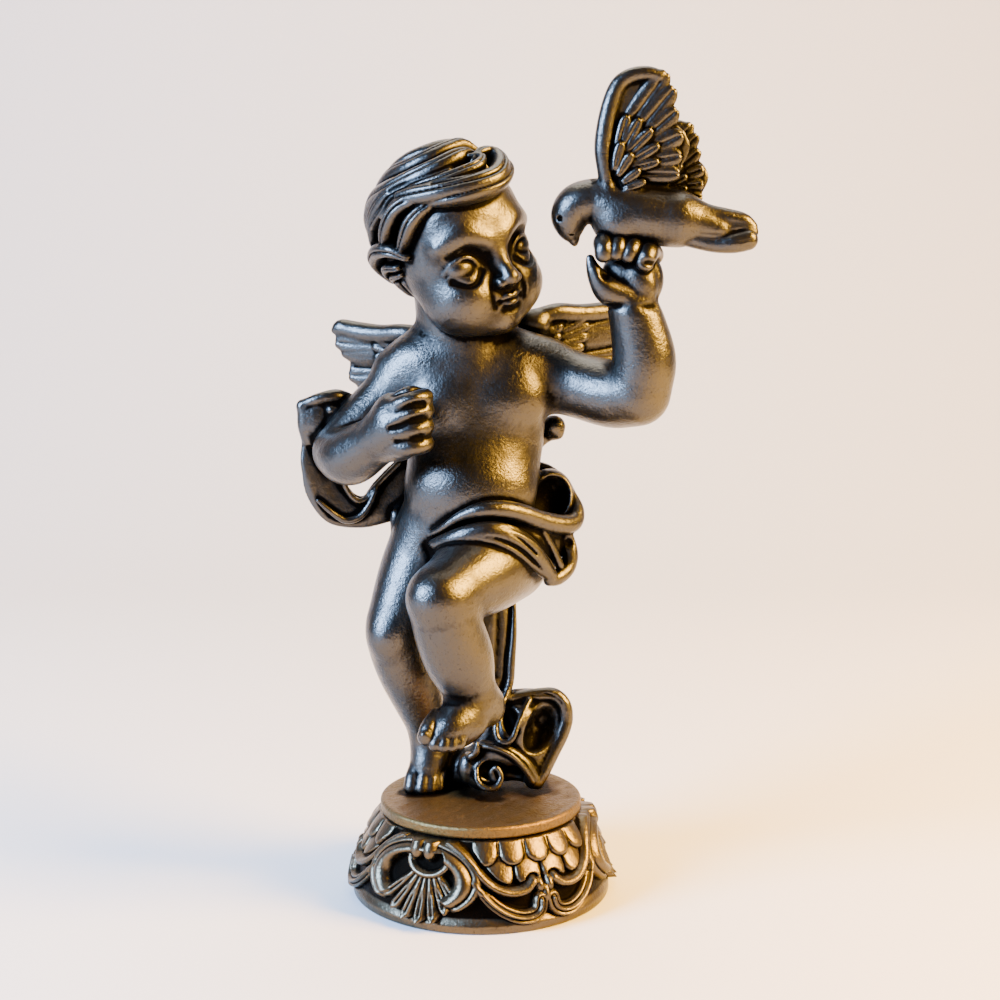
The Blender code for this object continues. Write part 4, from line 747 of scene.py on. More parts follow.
def dove_body(cast):
    """Breast, bowed head and beak, and the broad tail of three feathers."""
    # Back, neck and bowed head, then the beak
    cast.limb([(26.0, -4.0, 79.9, 3.6), (21.5, -3.6, 80.3, 3.9), (18.4, -3.3, 81.0, 3.7),
               (15.6, -3.1, 82.2, 3.0), (13.1, -3.0, 81.8, 2.85), (12.0, -2.9, 80.5, 2.6),
               (11.9, -2.9, 79.2, 2.0), (12.0, -2.9, 78.4, 1.5)], blend=0.8)
    cast.limb([(12.2, -2.9, 78.2, 1.0), (12.4, -2.9, 77.4, 0.85), (12.55, -2.9, 76.8, 0.5)], blend=0.12)
    # The taper to the tail, and the breast over the fingers
    cast.limb([(26.0, -4.0, 79.9, 3.5), (28.2, -4.3, 79.5, 2.9), (31.0, -4.6, 78.6, 2.3)], blend=0.8)
    cast.ball((18.4, -3.6, 79.2), (3.4, 3.3, 3.0), blend=1.0)
    # Tail: a flat core, three feathers, and the lines between and along them
    cast.ball((32.6, -4.8, 78.5), (3.6, 1.5, 2.6), ((0.99, 0.0, -0.1), (0.0, 1.0, 0.0), (0.1, 0.0, 0.99)),
              0.5)
    cast.limb([(26.6, -5.0, 81.6, 1.5), (29.6, -5.2, 80.6, 1.3), (32.2, -5.3, 80.1, 1.2),
               (34.4, -5.3, 79.6, 1.1), (35.4, -5.2, 78.8, 1.0)], blend=0.3)
    cast.limb([(29.4, -5.2, 78.8, 1.1), (32.2, -5.4, 78.8, 1.0), (34.4, -5.4, 78.9, 1.0),
               (35.6, -5.3, 78.2, 0.9)], blend=0.15)
    cast.limb([(27.2, -5.0, 77.6, 1.3), (30.6, -5.6, 76.7, 1.15), (33.2, -5.9, 76.8, 1.35),
               (35.0, -5.8, 77.2, 1.4)], blend=0.15)
    cast.groove([(28.8, -7.0, 78.0, 0.12), (31.6, -7.0, 77.9, 0.25), (33.6, -7.1, 78.4, 0.3),
                 (36.0, -6.6, 79.0, 0.3)], blend=0.3)
    for start, end in (((30.6, 76.2), (35.6, 76.5)), ((30.6, 77.0), (36.2, 77.4))):
        cast.groove([(start[0], -7.0, start[1], 0.05), ((start[0] + end[0]) / 2, -7.4, start[1], 0.12),
                     (end[0], -7.1, end[1], 0.1)], blend=0.25)
    # Eyes, and the crease at the root of the beak
    for front in (-5.0, -0.8):
        cast.ball((10.4, front, 79.9), (0.4, 0.55, 0.4), blend=0.15, cut=True)
    cast.groove([(10.7, -3.6, 78.1, 0.08), (12.0, -4.2, 77.9, 0.12), (13.3, -3.6, 78.2, 0.08)], blend=0.2)


# Feathers of the dove's wing: root and tip as (x, z), and width; the row at the edge first
LONG_TIPS = (((18.3, 90.6), (23.9, 98.2), 3.5), ((19.4, 89.8), (24.9, 96.3), 3.4),
             ((20.2, 89.2), (25.3, 93.6), 3.2), ((20.6, 88.2), (26.0, 90.6), 3.2),
             ((20.6, 87.0), (25.9, 88.0), 3.0), ((20.0, 85.7), (25.7, 85.7), 2.8))

MIDDLE_TIPS = (((17.8, 88.4), (19.0, 92.8), 1.9), ((18.2, 88.0), (20.6, 92.4), 1.9),
               ((18.6, 87.6), (22.1, 91.1), 1.9), ((19.2, 87.0), (23.0, 89.2), 1.8),
               ((19.2, 86.2), (23.0, 87.2), 1.7))

SHORT_TIPS = (((17.6, 86.6), (18.3, 89.4), 1.6), ((18.2, 85.8), (19.6, 88.0), 1.6),
              ((18.9, 84.8), (20.6, 86.0), 1.5), ((19.4, 84.0), (21.3, 84.6), 1.3))

# The wing's front edge: (x, z, radius), from the shoulder round to the top
LEADING_EDGE = ((17.0, 83.4, 0.7), (16.5, 85.6, 0.95), (16.1, 88.4, 1.15), (16.3, 91.2, 1.2),
                (17.0, 94.6, 1.15), (18.0, 97.0, 1.05), (19.6, 98.1, 1.0), (21.6, 98.4, 0.95),
                (23.2, 98.1, 0.8))


def dove_wing(cast, move, back, lean, size):
    """A raised wing: a smooth leading band, long feathers fanning out, and two rows over their roots."""
    foot = (19.0, 84.0)

    def place(across, rise, out=0.0):
        """A point of the wing's plane, scaled about the wing's foot, then leant and moved."""
        rise = (rise - foot[1]) * size
        return (foot[0] + (across - foot[0]) * size + move[0], back - lean * rise - out,
                foot[1] + rise + move[1])

    facing = (0.1, -1.0, -lean)
    cast.feather(place(18.4, 82.6), place(21.6, 97.6), 8.4 * size, 1.2, facing, lines=0)
    cast.feather(place(18.6, 83.4), place(25.0, 92.0), 8.6 * size, 1.2, facing, lines=0)
    cast.feather(place(18.6, 85.0), place(25.6, 87.2), 5.0 * size, 1.2, facing, lines=0)
    for row, out, thick, depth in ((LONG_TIPS, 0.3, 1.5, 0.4), (MIDDLE_TIPS, 0.85, 1.3, 0.45),
                                   (SHORT_TIPS, 1.25, 1.3, 0.3)):
        for start, end, wide in reversed(row):
            cast.feather(place(*start, out - 0.2), place(*end, out + 0.1), wide * size, thick, facing,
                         blend=0.06, depth=depth)
    cast.limb([(*place(across, rise, 0.3), half * size) for across, rise, half in LEADING_EDGE], blend=0.3)


def dove():
    """The dove; its far wing is set back and smaller, so that little of it shows past the near one."""
    cast = Cast((8.0, -10.5, 75.0), (38.5, 5.5, 101.0), DOVE_CELL)
    dove_wing(cast, (5.1, -2.5), -1.8, -0.1, 0.74)
    dove_wing(cast, (0.0, 0.0), -4.7, 0.04, 1.0)
    dove_body(cast)
    return cast


def vertex_places(mesh):
    """All the vertices' places as one array."""
    flat = np.empty(len(mesh.vertices) * 3, np.float32)
    mesh.vertices.foreach_get("co", flat)
    return flat.reshape(-1, 3)


def clearance(places, casts):
    """Distance to the nearest cast metal, in percent of the figure's height."""
    nearest = np.full(len(places), FAR, np.float32)
    shares = (places - np.array((0, 0, GROUND_TOP))) / PERCENT
    for cast in casts:
        spot = np.round((shares - cast.low) / cast.cell).astype(int)
        inside = np.all((spot >= 0) & (spot < np.array(cast.distance.shape)), axis=1)
        i, j, k = spot[inside].T
        nearest[inside] = np.minimum(nearest[inside], cast.distance[i, j, k])
    return nearest


def mark_recesses(mesh, casts, hollow=None):
    """Writes two darkenings of each vertex: lying below its neighbourhood (patina in the hollows), and metal
    close above it (painted shade, and patina).
    """
    places = vertex_places(mesh).astype(float)
    normals = np.empty(len(mesh.vertices) * 3, np.float32)
    mesh.vertices.foreach_get("normal", normals)
    normals = normals.reshape(-1, 3)
    # Metal close above the surface darkens it: painted shade from the nearby metal, and patina where the
    # rubbing cloth can't reach
    shade_and_patina_sum = np.zeros(len(places))
    for reach in SHADE_AND_PATINA_REACHES:
        gap = clearance(places + normals * reach * PERCENT, casts)
        shade_and_patina_sum += np.clip(1 - gap / reach, 0, 1) / len(SHADE_AND_PATINA_REACHES)
    # Painted shade and patina given by the caller, such as in the socle's carving, add to it
    if hollow is not None:
        shade_and_patina_sum += hollow.reshape(-1)
    # A place that lies below its smoothed neighbourhood is a hollow: first fine ones, then broad ones
    edges = np.empty(len(mesh.edges) * 2, np.int32)
    mesh.edges.foreach_get("vertices", edges)
    first, last = edges[0::2], edges[1::2]
    count = len(places)
    ties = np.bincount(first, minlength=count) + np.bincount(last, minlength=count)
    ties = np.maximum(ties, 1)[:, None]
    smooth = places.copy()
    depth = np.zeros(count)
    for step in range(1, BROAD_HOLLOW + 1):
        total = [np.bincount(first, smooth[last, i], count) + np.bincount(last, smooth[first, i], count)
                 for i in range(3)]
        smooth = (1 - SMOOTHING) * smooth + SMOOTHING * np.stack(total, axis=1) / ties
        if step in (FINE_HOLLOW, BROAD_HOLLOW):
            sunk = ((smooth - places) * normals).sum(axis=1) / (HOLLOW_DEPTH * step ** 0.6)
            depth += np.clip(sunk, -1, 1) / 2
    attribute = mesh.attributes.new("recess", "FLOAT", "POINT")
    attribute.data.foreach_set("value", np.clip(0.5 + 0.5 * depth, 0, 1).astype(np.float32))
    # How much metal is close above each vertex: painted shade, and patina
    attribute = mesh.attributes.new("shade_and_patina", "FLOAT", "POINT")
    attribute.data.foreach_set("value", np.clip(shade_and_patina_sum, 0, 1).astype(np.float32))


def finish_piece(thing, casts, material, hollow=None):
    """Marks a piece's hollows, gives it its metal and fixes it to the figurine's one body."""
    thing.data.name = thing.name
    thing.data.shade_smooth()
    mark_recesses(thing.data, casts, hollow)
    thing.data.materials.append(material)
    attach(thing, "root")
    return thing


def cast_piece(name, cast, casts, material):
    """Turns a grid of distances into a fine mesh of at most TRIANGLES_A_PIECE."""
    grid = openvdb.FloatGrid(FAR)
    grid.copyFromArray(cast.distance)
    points, _, quads = grid.convertToPolygons(isovalue=0.0, adaptivity=0.0)
    points = (points * cast.cell + cast.low) * PERCENT + np.array((0, 0, GROUND_TOP))
    mesh = bpy.data.meshes.new(name)
    mesh.from_pydata(points.astype(np.float32), [], quads)
    thing = bpy.data.objects.new(name, mesh)
    bpy.context.scene.collection.objects.link(thing)
    share = TRIANGLES_A_PIECE / (2 * len(quads))
    if share < 1:
        thin = thing.modifiers.new("thin_out", "DECIMATE")
        thin.ratio = share
        fine = bpy.data.meshes.new_from_object(thing.evaluated_get(bpy.context.evaluated_depsgraph_get()))
        thing.modifiers.clear()
        thing.data = fine
    return finish_piece(thing, casts, material)


def turned_piece(name, radii, rises, casts, material, hollow=None):
    """A closed turned piece from radii[ring][turn] and rises[ring][turn] in metres; turn 0 is the front."""
    turns = radii.shape[1]
    angle = 2 * np.pi * np.arange(turns) / turns
    rows = np.stack([radii * np.sin(angle), -radii * np.cos(angle), rises], axis=-1)
    points = rows.reshape(-1, 3)
    faces = []
    for ring in range(len(rises) - 1):
        start = ring * turns
        here = start + np.arange(turns)
        after = start + (np.arange(turns) + 1) % turns
        faces.append(np.stack([here, after, after + turns, here + turns], axis=1))
    faces = [list(face) for face in np.concatenate(faces).tolist()]
    top = (len(rises) - 1) * turns
    faces.append(list(range(turns))[::-1])
    faces.append(list(range(top, top + turns)))
    mesh = bpy.data.meshes.new(name)
    mesh.from_pydata(points, [], faces)
    thing = bpy.data.objects.new(name, mesh)
    bpy.context.scene.collection.objects.link(thing)
    return finish_piece(thing, casts, material, hollow)


# Socle: sizes of the turned skirt, and the carving's depth, count and first turn in degrees
SOCLE_FOOT_RADIUS = 22.3 * MM
SOCLE_TOP_RADIUS = 17.1 * MM
RIM_HEIGHT = 2.2 * MM
RIM_STEP = 0.7 * MM
FOOT_ROUNDING = 0.5 * MM
RELIEF_DEPTH = 1.8 * MM
CARTOUCHES = 3
CARTOUCHE_TURN = -29.5
# Points round the skirt, rings up it, and rings across the flat top
SOCLE_TURNS = 720
SOCLE_RINGS = 96
TOP_RINGS = 8
# Painted shade and patina: how black the ground of the carving is, how fast that clears towards the raised
# parts, and the black of the flat top where the disc sits
CARVING_SHADE_AND_PATINA = 0.75
SHADE_AND_PATINA_FADE = 1.6
JOINT_SHADE_AND_PATINA = 0.5
# The rim is left unblackened: share of the height where the black starts, and over which it comes in
SHADE_AND_PATINA_START = 0.16
SHADE_AND_PATINA_ONSET = 0.08

# Carving on the unrolled skirt: (degrees from the middle, share of the socle's height)
RING_HALF_TURN = 25.0
RING_MIDDLE = 0.59
RING_HALF_RISE = 0.35
RING_OPENING = 70.0
FAN_CENTRE = (4.5, 0.82)
FAN_LIP = 0.18
# Ribs of the fan: (degrees from straight down, length)
SHELL_RIBS = ((-45.0, 0.70), (-31.0, 0.71), (-17.0, 0.72), (-3.0, 0.71), (11.0, 0.70), (25.0, 0.64),
              (39.0, 0.56))
KNOT_BEADS = ((-2.5, 0.95), (4.5, 0.95))
INNER_SWAG = ((-47, 1.0), (-40, 0.91), (-34.5, 0.80), (-30, 0.67), (-25.5, 0.57), (-20.5, 0.50),
              (-15, 0.47), (-9.5, 0.49), (-5.5, 0.57))
OUTER_SWAG = ((-33, 0.60), (-29, 0.48), (-24.5, 0.36), (-19, 0.26), (-13, 0.20), (-7.5, 0.20), (-4, 0.26),
              (-3, 0.36))
# Leaves where the swags meet: place and half length
SWAG_LEAVES = ((-2.5, 0.52, 0.10), (2.5, 0.52, 0.10), (0.0, 0.42, 0.12))
LEAF_HALF_WIDTH = 0.06
# Scales: degrees of each one's middle, the foot and top of each row, and the pitch in degrees
UPPER_SCALES = (-28, -14, 0, 14, 28)
LOWER_SCALES = (-21, -7, 7, 21)
UPPER_ROW = (0.75, 1.0)
LOWER_ROW = (0.51, 0.80)
SCALE_PITCH = 14


def skirt_radius(rise):
    """Radius of the bare skirt at a share of its height: an upright rim, a soft step, a flared side."""
    rim = RIM_HEIGHT / SOCLE_HEIGHT
    share = np.clip((rise - rim) / (1 - rim), 0, 1)
    slope = SOCLE_FOOT_RADIUS - RIM_STEP + (SOCLE_TOP_RADIUS - SOCLE_FOOT_RADIUS + RIM_STEP) * share ** 1.35
    over = np.clip((rise - 0.55 * rim) / (0.75 * rim), 0, 1)
    over = over * over * (3 - 2 * over)
    return SOCLE_FOOT_RADIUS + (slope - SOCLE_FOOT_RADIUS) * over


MIDDLE_RADIUS = float(skirt_radius(np.array(0.5)))


def unrolled(degrees, rise):
    """Metres across and up on the unrolled skirt."""
    return np.radians(degrees) * MIDDLE_RADIUS, np.asarray(rise) * SOCLE_HEIGHT


def ridge(distance, half_width):
    """1 on the ridge's line, 0 beyond its half width, round between."""
    share = np.clip(np.abs(distance) / half_width, 0, 1)
    return np.sqrt(1 - share * share)


def near_curve(across, up, curve):
    """Distance to an open chain of points, and how far along it (0 to 1) the nearest point is."""
    best = np.full(across.shape, 1.0)
    along = np.zeros(across.shape)
    spans = len(curve) - 1
    for i, ((ax, ay), (bx, by)) in enumerate(zip(curve, curve[1:])):
        dx, dy = bx - ax, by - ay
        share = np.clip(((across - ax) * dx + (up - ay) * dy) / (dx * dx + dy * dy), 0, 1)
        gap = np.hypot(across - ax - dx * share, up - ay - dy * share)
        along = np.where(gap < best, (i + share) / spans, along)
        best = np.minimum(best, gap)
    return best, along


def shell_carving(degrees, rise):
    """The C ring of two ridges, the knot on it, the scoop, and the ribs hanging from its lip."""
    across, up = unrolled(degrees, rise)
    wide, tall = unrolled(RING_HALF_TURN, RING_HALF_RISE)
    middle = unrolled(0, RING_MIDDLE)
    # The ring, open at the bottom: a flat band with a thin ridge outside and a thick one inside
    angle = np.degrees(np.arctan2((across - middle[0]) / wide, -(up - middle[1]) / tall))
    away = np.hypot((across - middle[0]) / wide, (up - middle[1]) / tall)
    off = (away - 1) * (wide + tall) / 2
    ends = np.clip((np.abs(angle) - RING_OPENING / 2) / 10, 0, 1) ** 0.5
    height = np.where(away < 1, -0.3, 0.0)
    height = np.maximum(height, (0.45 * (np.abs(off) < 0.10 * SOCLE_HEIGHT)) * ends)
    height = np.maximum(height, 0.95 * ridge(off - 0.06 * SOCLE_HEIGHT, 0.055 * SOCLE_HEIGHT) * ends)
    height = np.maximum(height, 1.3 * ridge(off + 0.055 * SOCLE_HEIGHT, 0.095 * SOCLE_HEIGHT) * ends)
    # The fan of ribs, each split along its lower half
    fan = unrolled(*FAN_CENTRE)
    dx, dy = across - fan[0], fan[1] - up
    reach = np.hypot(dx, dy)
    turn = np.degrees(np.arctan2(dx, dy))
    lip = FAN_LIP * SOCLE_HEIGHT
    for rib_turn, rib_length in SHELL_RIBS:
        length = rib_length * SOCLE_HEIGHT
        half = 0.085 * reach + 0.02 * SOCLE_HEIGHT
        side = np.radians(turn - rib_turn) * reach
        end = np.clip((reach - (length - half)) / half, 0, 1)
        rib = ridge(side, np.maximum(half * np.sqrt(1 - end * end), 1e-6))
        split = 0.28 * np.exp(-(side / (0.016 * SOCLE_HEIGHT)) ** 2)
        split = split * np.clip((reach / length - 0.5) / 0.15, 0, 1)
        split = split * np.clip((0.94 - reach / length) / 0.06, 0, 1)
        inside = (np.abs(turn) < 75) & (reach > lip) & (reach < length)
        height = np.maximum(height, np.where(inside, (0.55 + 0.45 * reach / length) * rib - split, -1))
    # The shell's lip and the scoop above it
    oval = np.hypot(dx / 1.4, dy)
    height = np.maximum(height, 0.95 * ridge(oval - lip, 0.05 * SOCLE_HEIGHT) * (dy > -0.04 * SOCLE_HEIGHT))
    scoop = (oval < lip * 0.82) & (dy > -0.07 * SOCLE_HEIGHT)
    height = np.where(scoop, 0.5 * (oval / lip) ** 2 + 0.1, height)
    # The knot of two beads on the ring's top
    for place in KNOT_BEADS:
        bead = unrolled(*place)
        gap = np.hypot(across - bead[0], (up - bead[1]) / 1.6)
        height = np.maximum(height, 1.5 * ridge(gap, 0.12 * SOCLE_HEIGHT))
    return height


def scale_carving(across, up, degrees, low, high, width):
    """One hanging scale: a tongue with a round, swollen end."""
    top, foot = unrolled(degrees, high), unrolled(degrees, low)
    half, round_end = width * 0.47, 0.14 * SOCLE_HEIGHT
    below = np.maximum(foot[1] + round_end - up, 0) / round_end
    gap = np.hypot((across - foot[0]) / half, below)
    share = np.clip((top[1] - up) / (top[1] - foot[1]), 0, 1)
    return (0.35 + 0.6 * share) * np.sqrt(np.sqrt(np.clip(1 - gap * gap, 0, 1)))


def panel_carving(degrees, rise):
    """Two rows of scales between an inner and an outer swag."""
    across, up = unrolled(degrees, rise)
    height = np.zeros(across.shape)
    width = unrolled(SCALE_PITCH, 0)[0]
    # Scales: the lower row first, the upper row over it
    for middle in LOWER_SCALES:
        height = np.maximum(height, scale_carving(across, up, middle, *LOWER_ROW, width))
    for middle in UPPER_SCALES:
        scale = 1.05 * scale_carving(across, up, middle, *UPPER_ROW, width)
        height = np.where(scale > 0.02, np.maximum(scale, height * 0.6), height)
    # The two swags of each side, the outer one split by a crease
    for side in (-1, 1):
        inner = [unrolled(turn * side, up_share) for turn, up_share in smooth_path(INNER_SWAG, 4)]
        outer = [unrolled(turn * side, up_share) for turn, up_share in smooth_path(OUTER_SWAG, 4)]
        gap, along = near_curve(across, up, outer)
        lower = gap < 0.16 * SOCLE_HEIGHT
        height = np.where(lower & (height < 0.3), -0.15, height)
        height = np.maximum(height, ridge(gap, 0.085 * SOCLE_HEIGHT * (0.75 + 0.35 * along)))
        crease = np.exp(-((gap - 0.03 * SOCLE_HEIGHT) / (0.014 * SOCLE_HEIGHT)) ** 2)
        height = height - 0.35 * crease * (along > 0.15)
        gap, along = near_curve(across, up, inner)
        height = np.where((gap < 0.09 * SOCLE_HEIGHT) & (height > 0), height * 0.3, height)
        height = np.maximum(height, 0.95 * ridge(gap, 0.055 * SOCLE_HEIGHT * (0.8 + 0.4 * along)))
    # Three small leaves where the swags meet
    for turn, rise_share, half_length in SWAG_LEAVES:
        leaf = unrolled(turn, rise_share)
        gap = np.hypot(across - leaf[0], (up - leaf[1]) * LEAF_HALF_WIDTH / half_length)
        height = np.maximum(height, 0.9 * ridge(gap, LEAF_HALF_WIDTH * SOCLE_HEIGHT))
    return height


def rocaille_socle(casts, material):
    """The skirt with its carving, three shells and three panels of scales in turn, and a flat top."""
    rises = np.linspace(0, 1, SOCLE_RINGS)
    degrees = 360.0 * np.arange(SOCLE_TURNS) / SOCLE_TURNS
    degrees, rises = np.meshgrid(degrees, rises)
    turn = 360.0 / CARTOUCHES
    from_shell = (degrees - CARTOUCHE_TURN + turn / 2) % turn - turn / 2
    from_panel = (degrees - CARTOUCHE_TURN) % turn - turn / 2
    carving = np.maximum(shell_carving(from_shell, rises), panel_carving(from_panel, rises))
    radii = skirt_radius(rises) + RELIEF_DEPTH * carving
    foot = np.clip(rises * SOCLE_HEIGHT / FOOT_ROUNDING, 0, 1)
    radii = radii - FOOT_ROUNDING * (1 - np.sqrt(1 - (1 - foot) ** 2))
    flat = np.linspace(0.97, 0.0, TOP_RINGS)[:, None] * np.minimum(radii[-1:], SOCLE_TOP_RADIUS)
    radii = np.vstack([radii, flat])
    rises = np.vstack([rises, np.ones((TOP_RINGS, SOCLE_TURNS))])
    # Painted shade and patina: black on the ground of the carving, none on the rim, and some on the flat top
    # under the disc
    above_rim = np.clip((rises[:SOCLE_RINGS] - SHADE_AND_PATINA_START) / SHADE_AND_PATINA_ONSET, 0, 1)
    hollow = np.clip(CARVING_SHADE_AND_PATINA - SHADE_AND_PATINA_FADE * carving, 0, CARVING_SHADE_AND_PATINA) * above_rim
    hollow = np.vstack([hollow, np.full((TOP_RINGS - 1, SOCLE_TURNS), JOINT_SHADE_AND_PATINA)])
    thing = turned_piece("socle", radii[:-1], rises[:-1] * SOCLE_HEIGHT, casts, material, hollow)
    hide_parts("rocaille_socle")
    return thing


def ground_plate(casts, material):
    """The thin round ground: an upright edge, a rounded corner and an uneven top."""
    turns = 360
    lower_edge = 0.3 * MM
    unevenness = 0.08 * MM
    sinking = 0.12 * MM
    radius = GROUND_DIAMETER / 2
    corner = np.linspace(0, math.pi / 2, 7)
    edge = [(radius - lower_edge, GROUND_UNDERSIDE), (radius, GROUND_UNDERSIDE + lower_edge)]
    wall = GROUND_THICKNESS - GROUND_ROUNDING
    edge += [(radius, GROUND_UNDERSIDE + share * wall) for share in (0.4, 0.7, 0.95)]
    edge += [(radius - GROUND_ROUNDING * (1 - math.cos(t)), GROUND_TOP - GROUND_ROUNDING * (1 - math.sin(t)))
             for t in corner]
    inward = np.linspace(radius - GROUND_ROUNDING, 0.05 * MM, 90)[1:]
    edge += [(away, GROUND_TOP) for away in inward]
    edge = np.array(edge)
    radii = np.repeat(edge[:, :1], turns, axis=1)
    rises = np.repeat(edge[:, 1:], turns, axis=1)
    angle = 2 * np.pi * np.arange(turns) / turns
    x, y = radii * np.sin(angle) / PERCENT, -radii * np.cos(angle) / PERCENT
    waves = 0.5 * np.sin(x * 0.9 + 1.0) * np.sin(y * 1.1 + 2.0) + 0.3 * np.sin(x * 2.3 - y * 1.7)
    inner = np.clip((radius - radii) / (1.5 * MM) - 0.5, 0, 1)
    uneven = (unevenness * waves - sinking) * inner
    rises = rises + np.where(radii < radius - GROUND_ROUNDING, uneven, 0)
    return turned_piece("ground_plate", radii, rises, casts, material)


def linear(code):
    """An sRGB hex colour as linear red, green, blue, alpha."""
    parts = [int(code[i:i + 2], 16) / 255 for i in (1, 3, 5)]
    return (*[p / 12.92 if p <= 0.04045 else ((p + 0.055) / 1.055) ** 2.4 for p in parts], 1.0)


def add(tree, kind, settings=(), links=()):
    """Adds a node; settings are (name or socket, value), links are (socket, output of another node)."""
    node = tree.nodes.new(kind)
    for key, value in settings:
        if isinstance(key, str) and hasattr(node, key):
            setattr(node, key, value)
        else:
            node.inputs[key].default_value = value
    for key, output in links:
        tree.links.new(output, node.inputs[key])
    return node


# Sizes of the metal's pattern: uneven rubbing in patches, the soft facets of hand finishing, and the grain
# of the casting. The real grain is about a third as large; it is drawn this coarse so that it shows
PATCH_SIZE = 6.0 * MM
FACET_SIZE = 1.8 * MM
FACET_DEPTH = 0.22 * MM
GRAIN_SIZE = 0.45 * MM
GRAIN_DEPTH = 0.08 * MM
# Sum of recess, shade_and_patina and patches at which the black (patina and painted shade) begins, and at
# which it covers
BLACK_BEGINS = 0.62
BLACK_COVERS = 0.94


def antiqued_pewter(name, bright, dark, roughness, grain=1.0):
    """Cast pewter, blackened and rubbed back: bare metal on the high places, black in the hollows as patina,
    and black as painted shade under metal close above.
    """
    material = bpy.data.materials.new(name)
    material.use_nodes = True
    tree = material.node_tree
    shader = tree.nodes["Principled BSDF"]
    shader.inputs["Metallic"].default_value = 1.0
    place = add(tree, "ShaderNodeTexCoord").outputs["Object"]
    recess = add(tree, "ShaderNodeAttribute", [("attribute_name", "recess")]).outputs["Fac"]
    shade_and_patina = add(tree, "ShaderNodeAttribute", [("attribute_name", "shade_and_patina")]).outputs["Fac"]
    patches = add(tree, "ShaderNodeTexNoise",
                  [("Scale", 1 / PATCH_SIZE), ("Detail", 5.0), ("Roughness", 0.6)],
                  [("Vector", place)]).outputs["Fac"]
    facets = add(tree, "ShaderNodeTexNoise",
                 [("Scale", 1 / FACET_SIZE), ("Detail", 3.0), ("Roughness", 0.55)],
                 [("Vector", place)]).outputs["Fac"]
    pits = add(tree, "ShaderNodeTexNoise",
               [("Scale", 1 / GRAIN_SIZE), ("Detail", 4.0), ("Roughness", 0.65)],
               [("Vector", place)]).outputs["Fac"]
    # Black stays where the surface is sunk (patina) and where metal is close above (painted shade, and
    # patina), and in the deepest pits of the grain
    sunk = add(tree, "ShaderNodeMath", [("operation", "MULTIPLY_ADD"), (1, 0.8)], [(0, shade_and_patina), (2, recess)])
    mixed = add(tree, "ShaderNodeMath", [("operation", "MULTIPLY_ADD"), (1, 0.3)],
                [(0, patches), (2, sunk.outputs[0])])
    black = add(tree, "ShaderNodeMapRange", [("From Min", BLACK_BEGINS), ("From Max", BLACK_COVERS)],
                [("Value", mixed.outputs[0])]).outputs[0]
    specks = add(tree, "ShaderNodeMapRange",
                 [("From Min", 0.58 - 0.06 * (grain - 1)), ("From Max", 0.72), ("To Max", 0.55)],
                 [("Value", pits)]).outputs[0]
    darkness = add(tree, "ShaderNodeMath", [("operation", "MAXIMUM")], [(0, black), (1, specks)]).outputs[0]
    colour = add(tree, "ShaderNodeMix", [("data_type", "RGBA"), (6, linear(bright)), (7, linear(dark))],
                 [(0, darkness)]).outputs[2]
    tree.links.new(colour, shader.inputs["Base Color"])
    # The black, patina and painted shade alike, is made rougher than the rubbed metal, as a dull film
    rough = add(tree, "ShaderNodeMapRange", [("To Min", roughness), ("To Max", roughness + 0.3)],
                [("Value", darkness)]).outputs[0]
    tree.links.new(rough, shader.inputs["Roughness"])
    worked = add(tree, "ShaderNodeBump", [("Strength", 0.5), ("Distance", FACET_DEPTH)], [("Height", facets)])
    grained = add(tree, "ShaderNodeBump", [("Strength", 0.7), ("Distance", GRAIN_DEPTH * grain)],
                  [("Height", pits), ("Normal", worked.outputs[0])])
    tree.links.new(grained.outputs[0], shader.inputs["Normal"])
    return material


# The photograph was taken from a little above, close to the figurine, with a moderately long lens
CAMERA_PLACE = (0.00333, -0.288, 0.1135)
CAMERA_DOWN = 8.93
CAMERA_LENS = 62
# Lamps: name, place, width in metres, power in watts, colour. The warm one at the right gives the gold
# highlights, the cool one at the left the steel-blue ones, and the weak one above lifts hair and shoulders
LAMPS = (("warm_right", (0.38, -0.12, 0.30), 0.22, 24.0, "#ffc04c"),
         ("cool_left", (-0.44, -0.26, 0.28), 0.26, 24.0, "#9cc2ff"),
         ("soft_above", (0.0, 0.25, 0.80), 0.60, 8.0, "#fff8ee"))
LAMP_TARGET = Vector((0.0, 0.0, 0.075))
# Little light from the room at large, so the unlit metal stays dark
ROOM_COLOUR = "#c9c6c0"
ROOM_LIGHT = 0.10


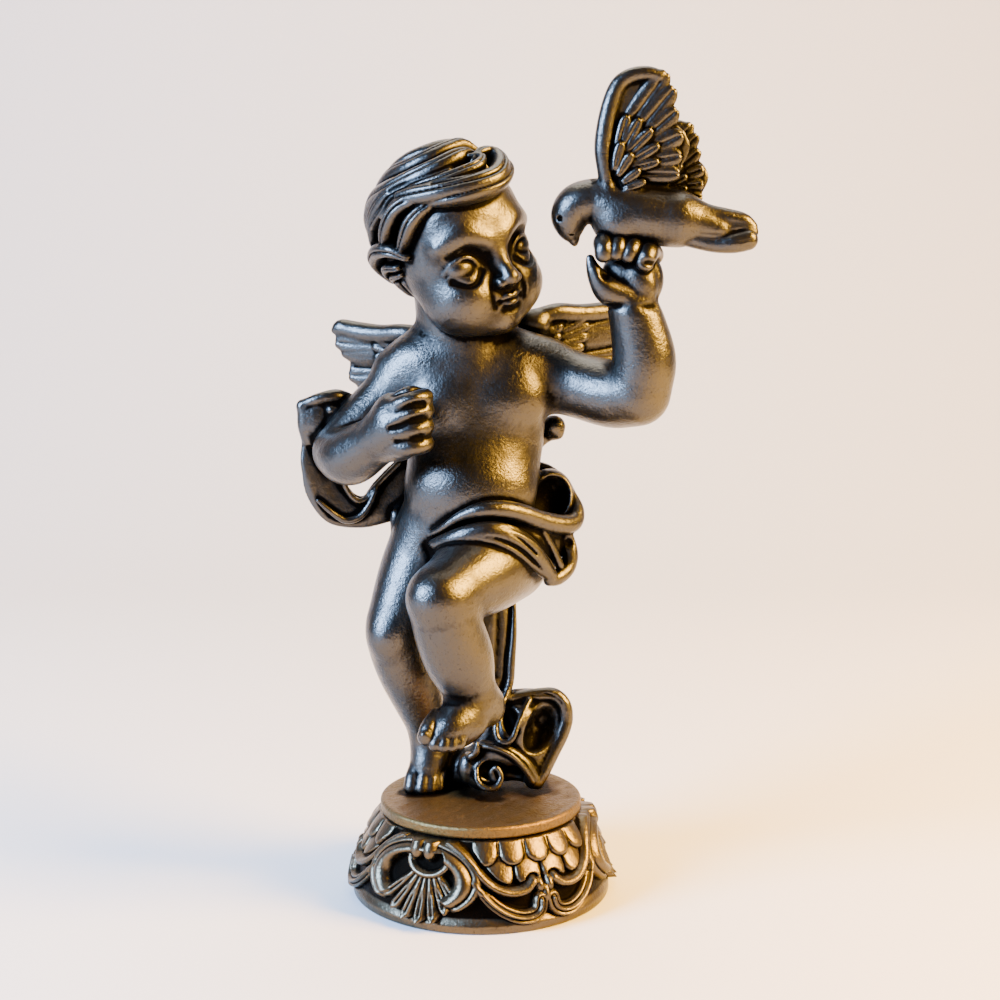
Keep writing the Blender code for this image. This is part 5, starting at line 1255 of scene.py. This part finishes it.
def camera_and_light():
    """The photograph's viewing angle, three soft lamps and a dim room."""
    camera = bpy.data.cameras.new("photo_camera")
    camera.lens = CAMERA_LENS
    camera.sensor_width = 36
    camera.clip_start = 0.01
    thing = bpy.data.objects.new("photo_camera", camera)
    thing.location = CAMERA_PLACE
    thing.rotation_euler = (math.radians(90 - CAMERA_DOWN), 0, 0)
    bpy.context.scene.collection.objects.link(thing)
    bpy.context.scene.camera = thing
    for name, place, size, power, tint in LAMPS:
        lamp = bpy.data.lights.new(name, "AREA")
        lamp.size = size
        lamp.energy = power
        lamp.color = linear(tint)[:3]
        light = bpy.data.objects.new(name, lamp)
        light.location = place
        light.rotation_euler = (LAMP_TARGET - Vector(place)).to_track_quat("-Z", "Y").to_euler()
        bpy.context.scene.collection.objects.link(light)
    world = bpy.data.worlds.new("studio")
    world.use_nodes = True
    room = world.node_tree.nodes["Background"]
    room.inputs[0].default_value = linear(ROOM_COLOUR)
    room.inputs[1].default_value = ROOM_LIGHT
    bpy.context.scene.world = world


def matt_paper():
    """Plain studio paper: pale warm grey, with no shine."""
    material = bpy.data.materials.new("matt_paper")
    material.use_nodes = True
    shader = material.node_tree.nodes["Principled BSDF"]
    shader.inputs["Base Color"].default_value = linear("#cfccc6")
    shader.inputs["Roughness"].default_value = 0.9
    return material


def pale_floor(material):
    """A sheet of paper, flat under the figurine and curving up behind it, in metres."""
    half_width, front, back, bend, height = 1.6, -0.9, 0.5, 0.25, 1.4
    bend_steps = 12
    profile = [(front, 0.0), (back - bend, 0.0)]
    for step in range(1, bend_steps + 1):
        angle = math.radians(90 / bend_steps * step)
        profile.append((back - bend + bend * math.sin(angle), bend - bend * math.cos(angle)))
    profile.append((back, height))
    corners = [(side * half_width, y, z) for y, z in profile for side in (-1, 1)]
    faces = [(i, i + 1, i + 3, i + 2) for i in range(0, len(corners) - 2, 2)]
    mesh = bpy.data.meshes.new("pale_floor")
    mesh.from_pydata(corners, [], faces)
    mesh.shade_smooth()
    mesh.materials.append(material)
    floor = bpy.data.objects.new("pale_floor", mesh)
    bpy.context.scene.collection.objects.link(floor)


# Cast pewter, blackened and rubbed back by hand: satin dark grey with sharp highlights, and black folds of
# patina and painted shade
pewter = antiqued_pewter("antiqued_pewter", "#46443f", "#070605", 0.29)
# The same metal, rubbed more by handling: browner and brighter, so the carving stands out from its ground
handled = antiqued_pewter("handled_pewter", "#564d3c", "#080604", 0.31)
# The ground disc, left as it was cast and browned: dull, brown and grainy
browned = antiqued_pewter("browned_pewter", "#62502f", "#0d0804", 0.42, grain=2.2)

sculpture = {"cherub": body(), "head": head(), "wings": wings(), "dove": dove()}
casts = list(sculpture.values())
pieces = {name: cast_piece(name, cast, casts, pewter) for name, cast in sculpture.items()}
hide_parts("cherub_with_dove")
ground_plate(casts, browned)
rocaille_socle(casts, handled)
pale_floor(matt_paper())
camera_and_light()
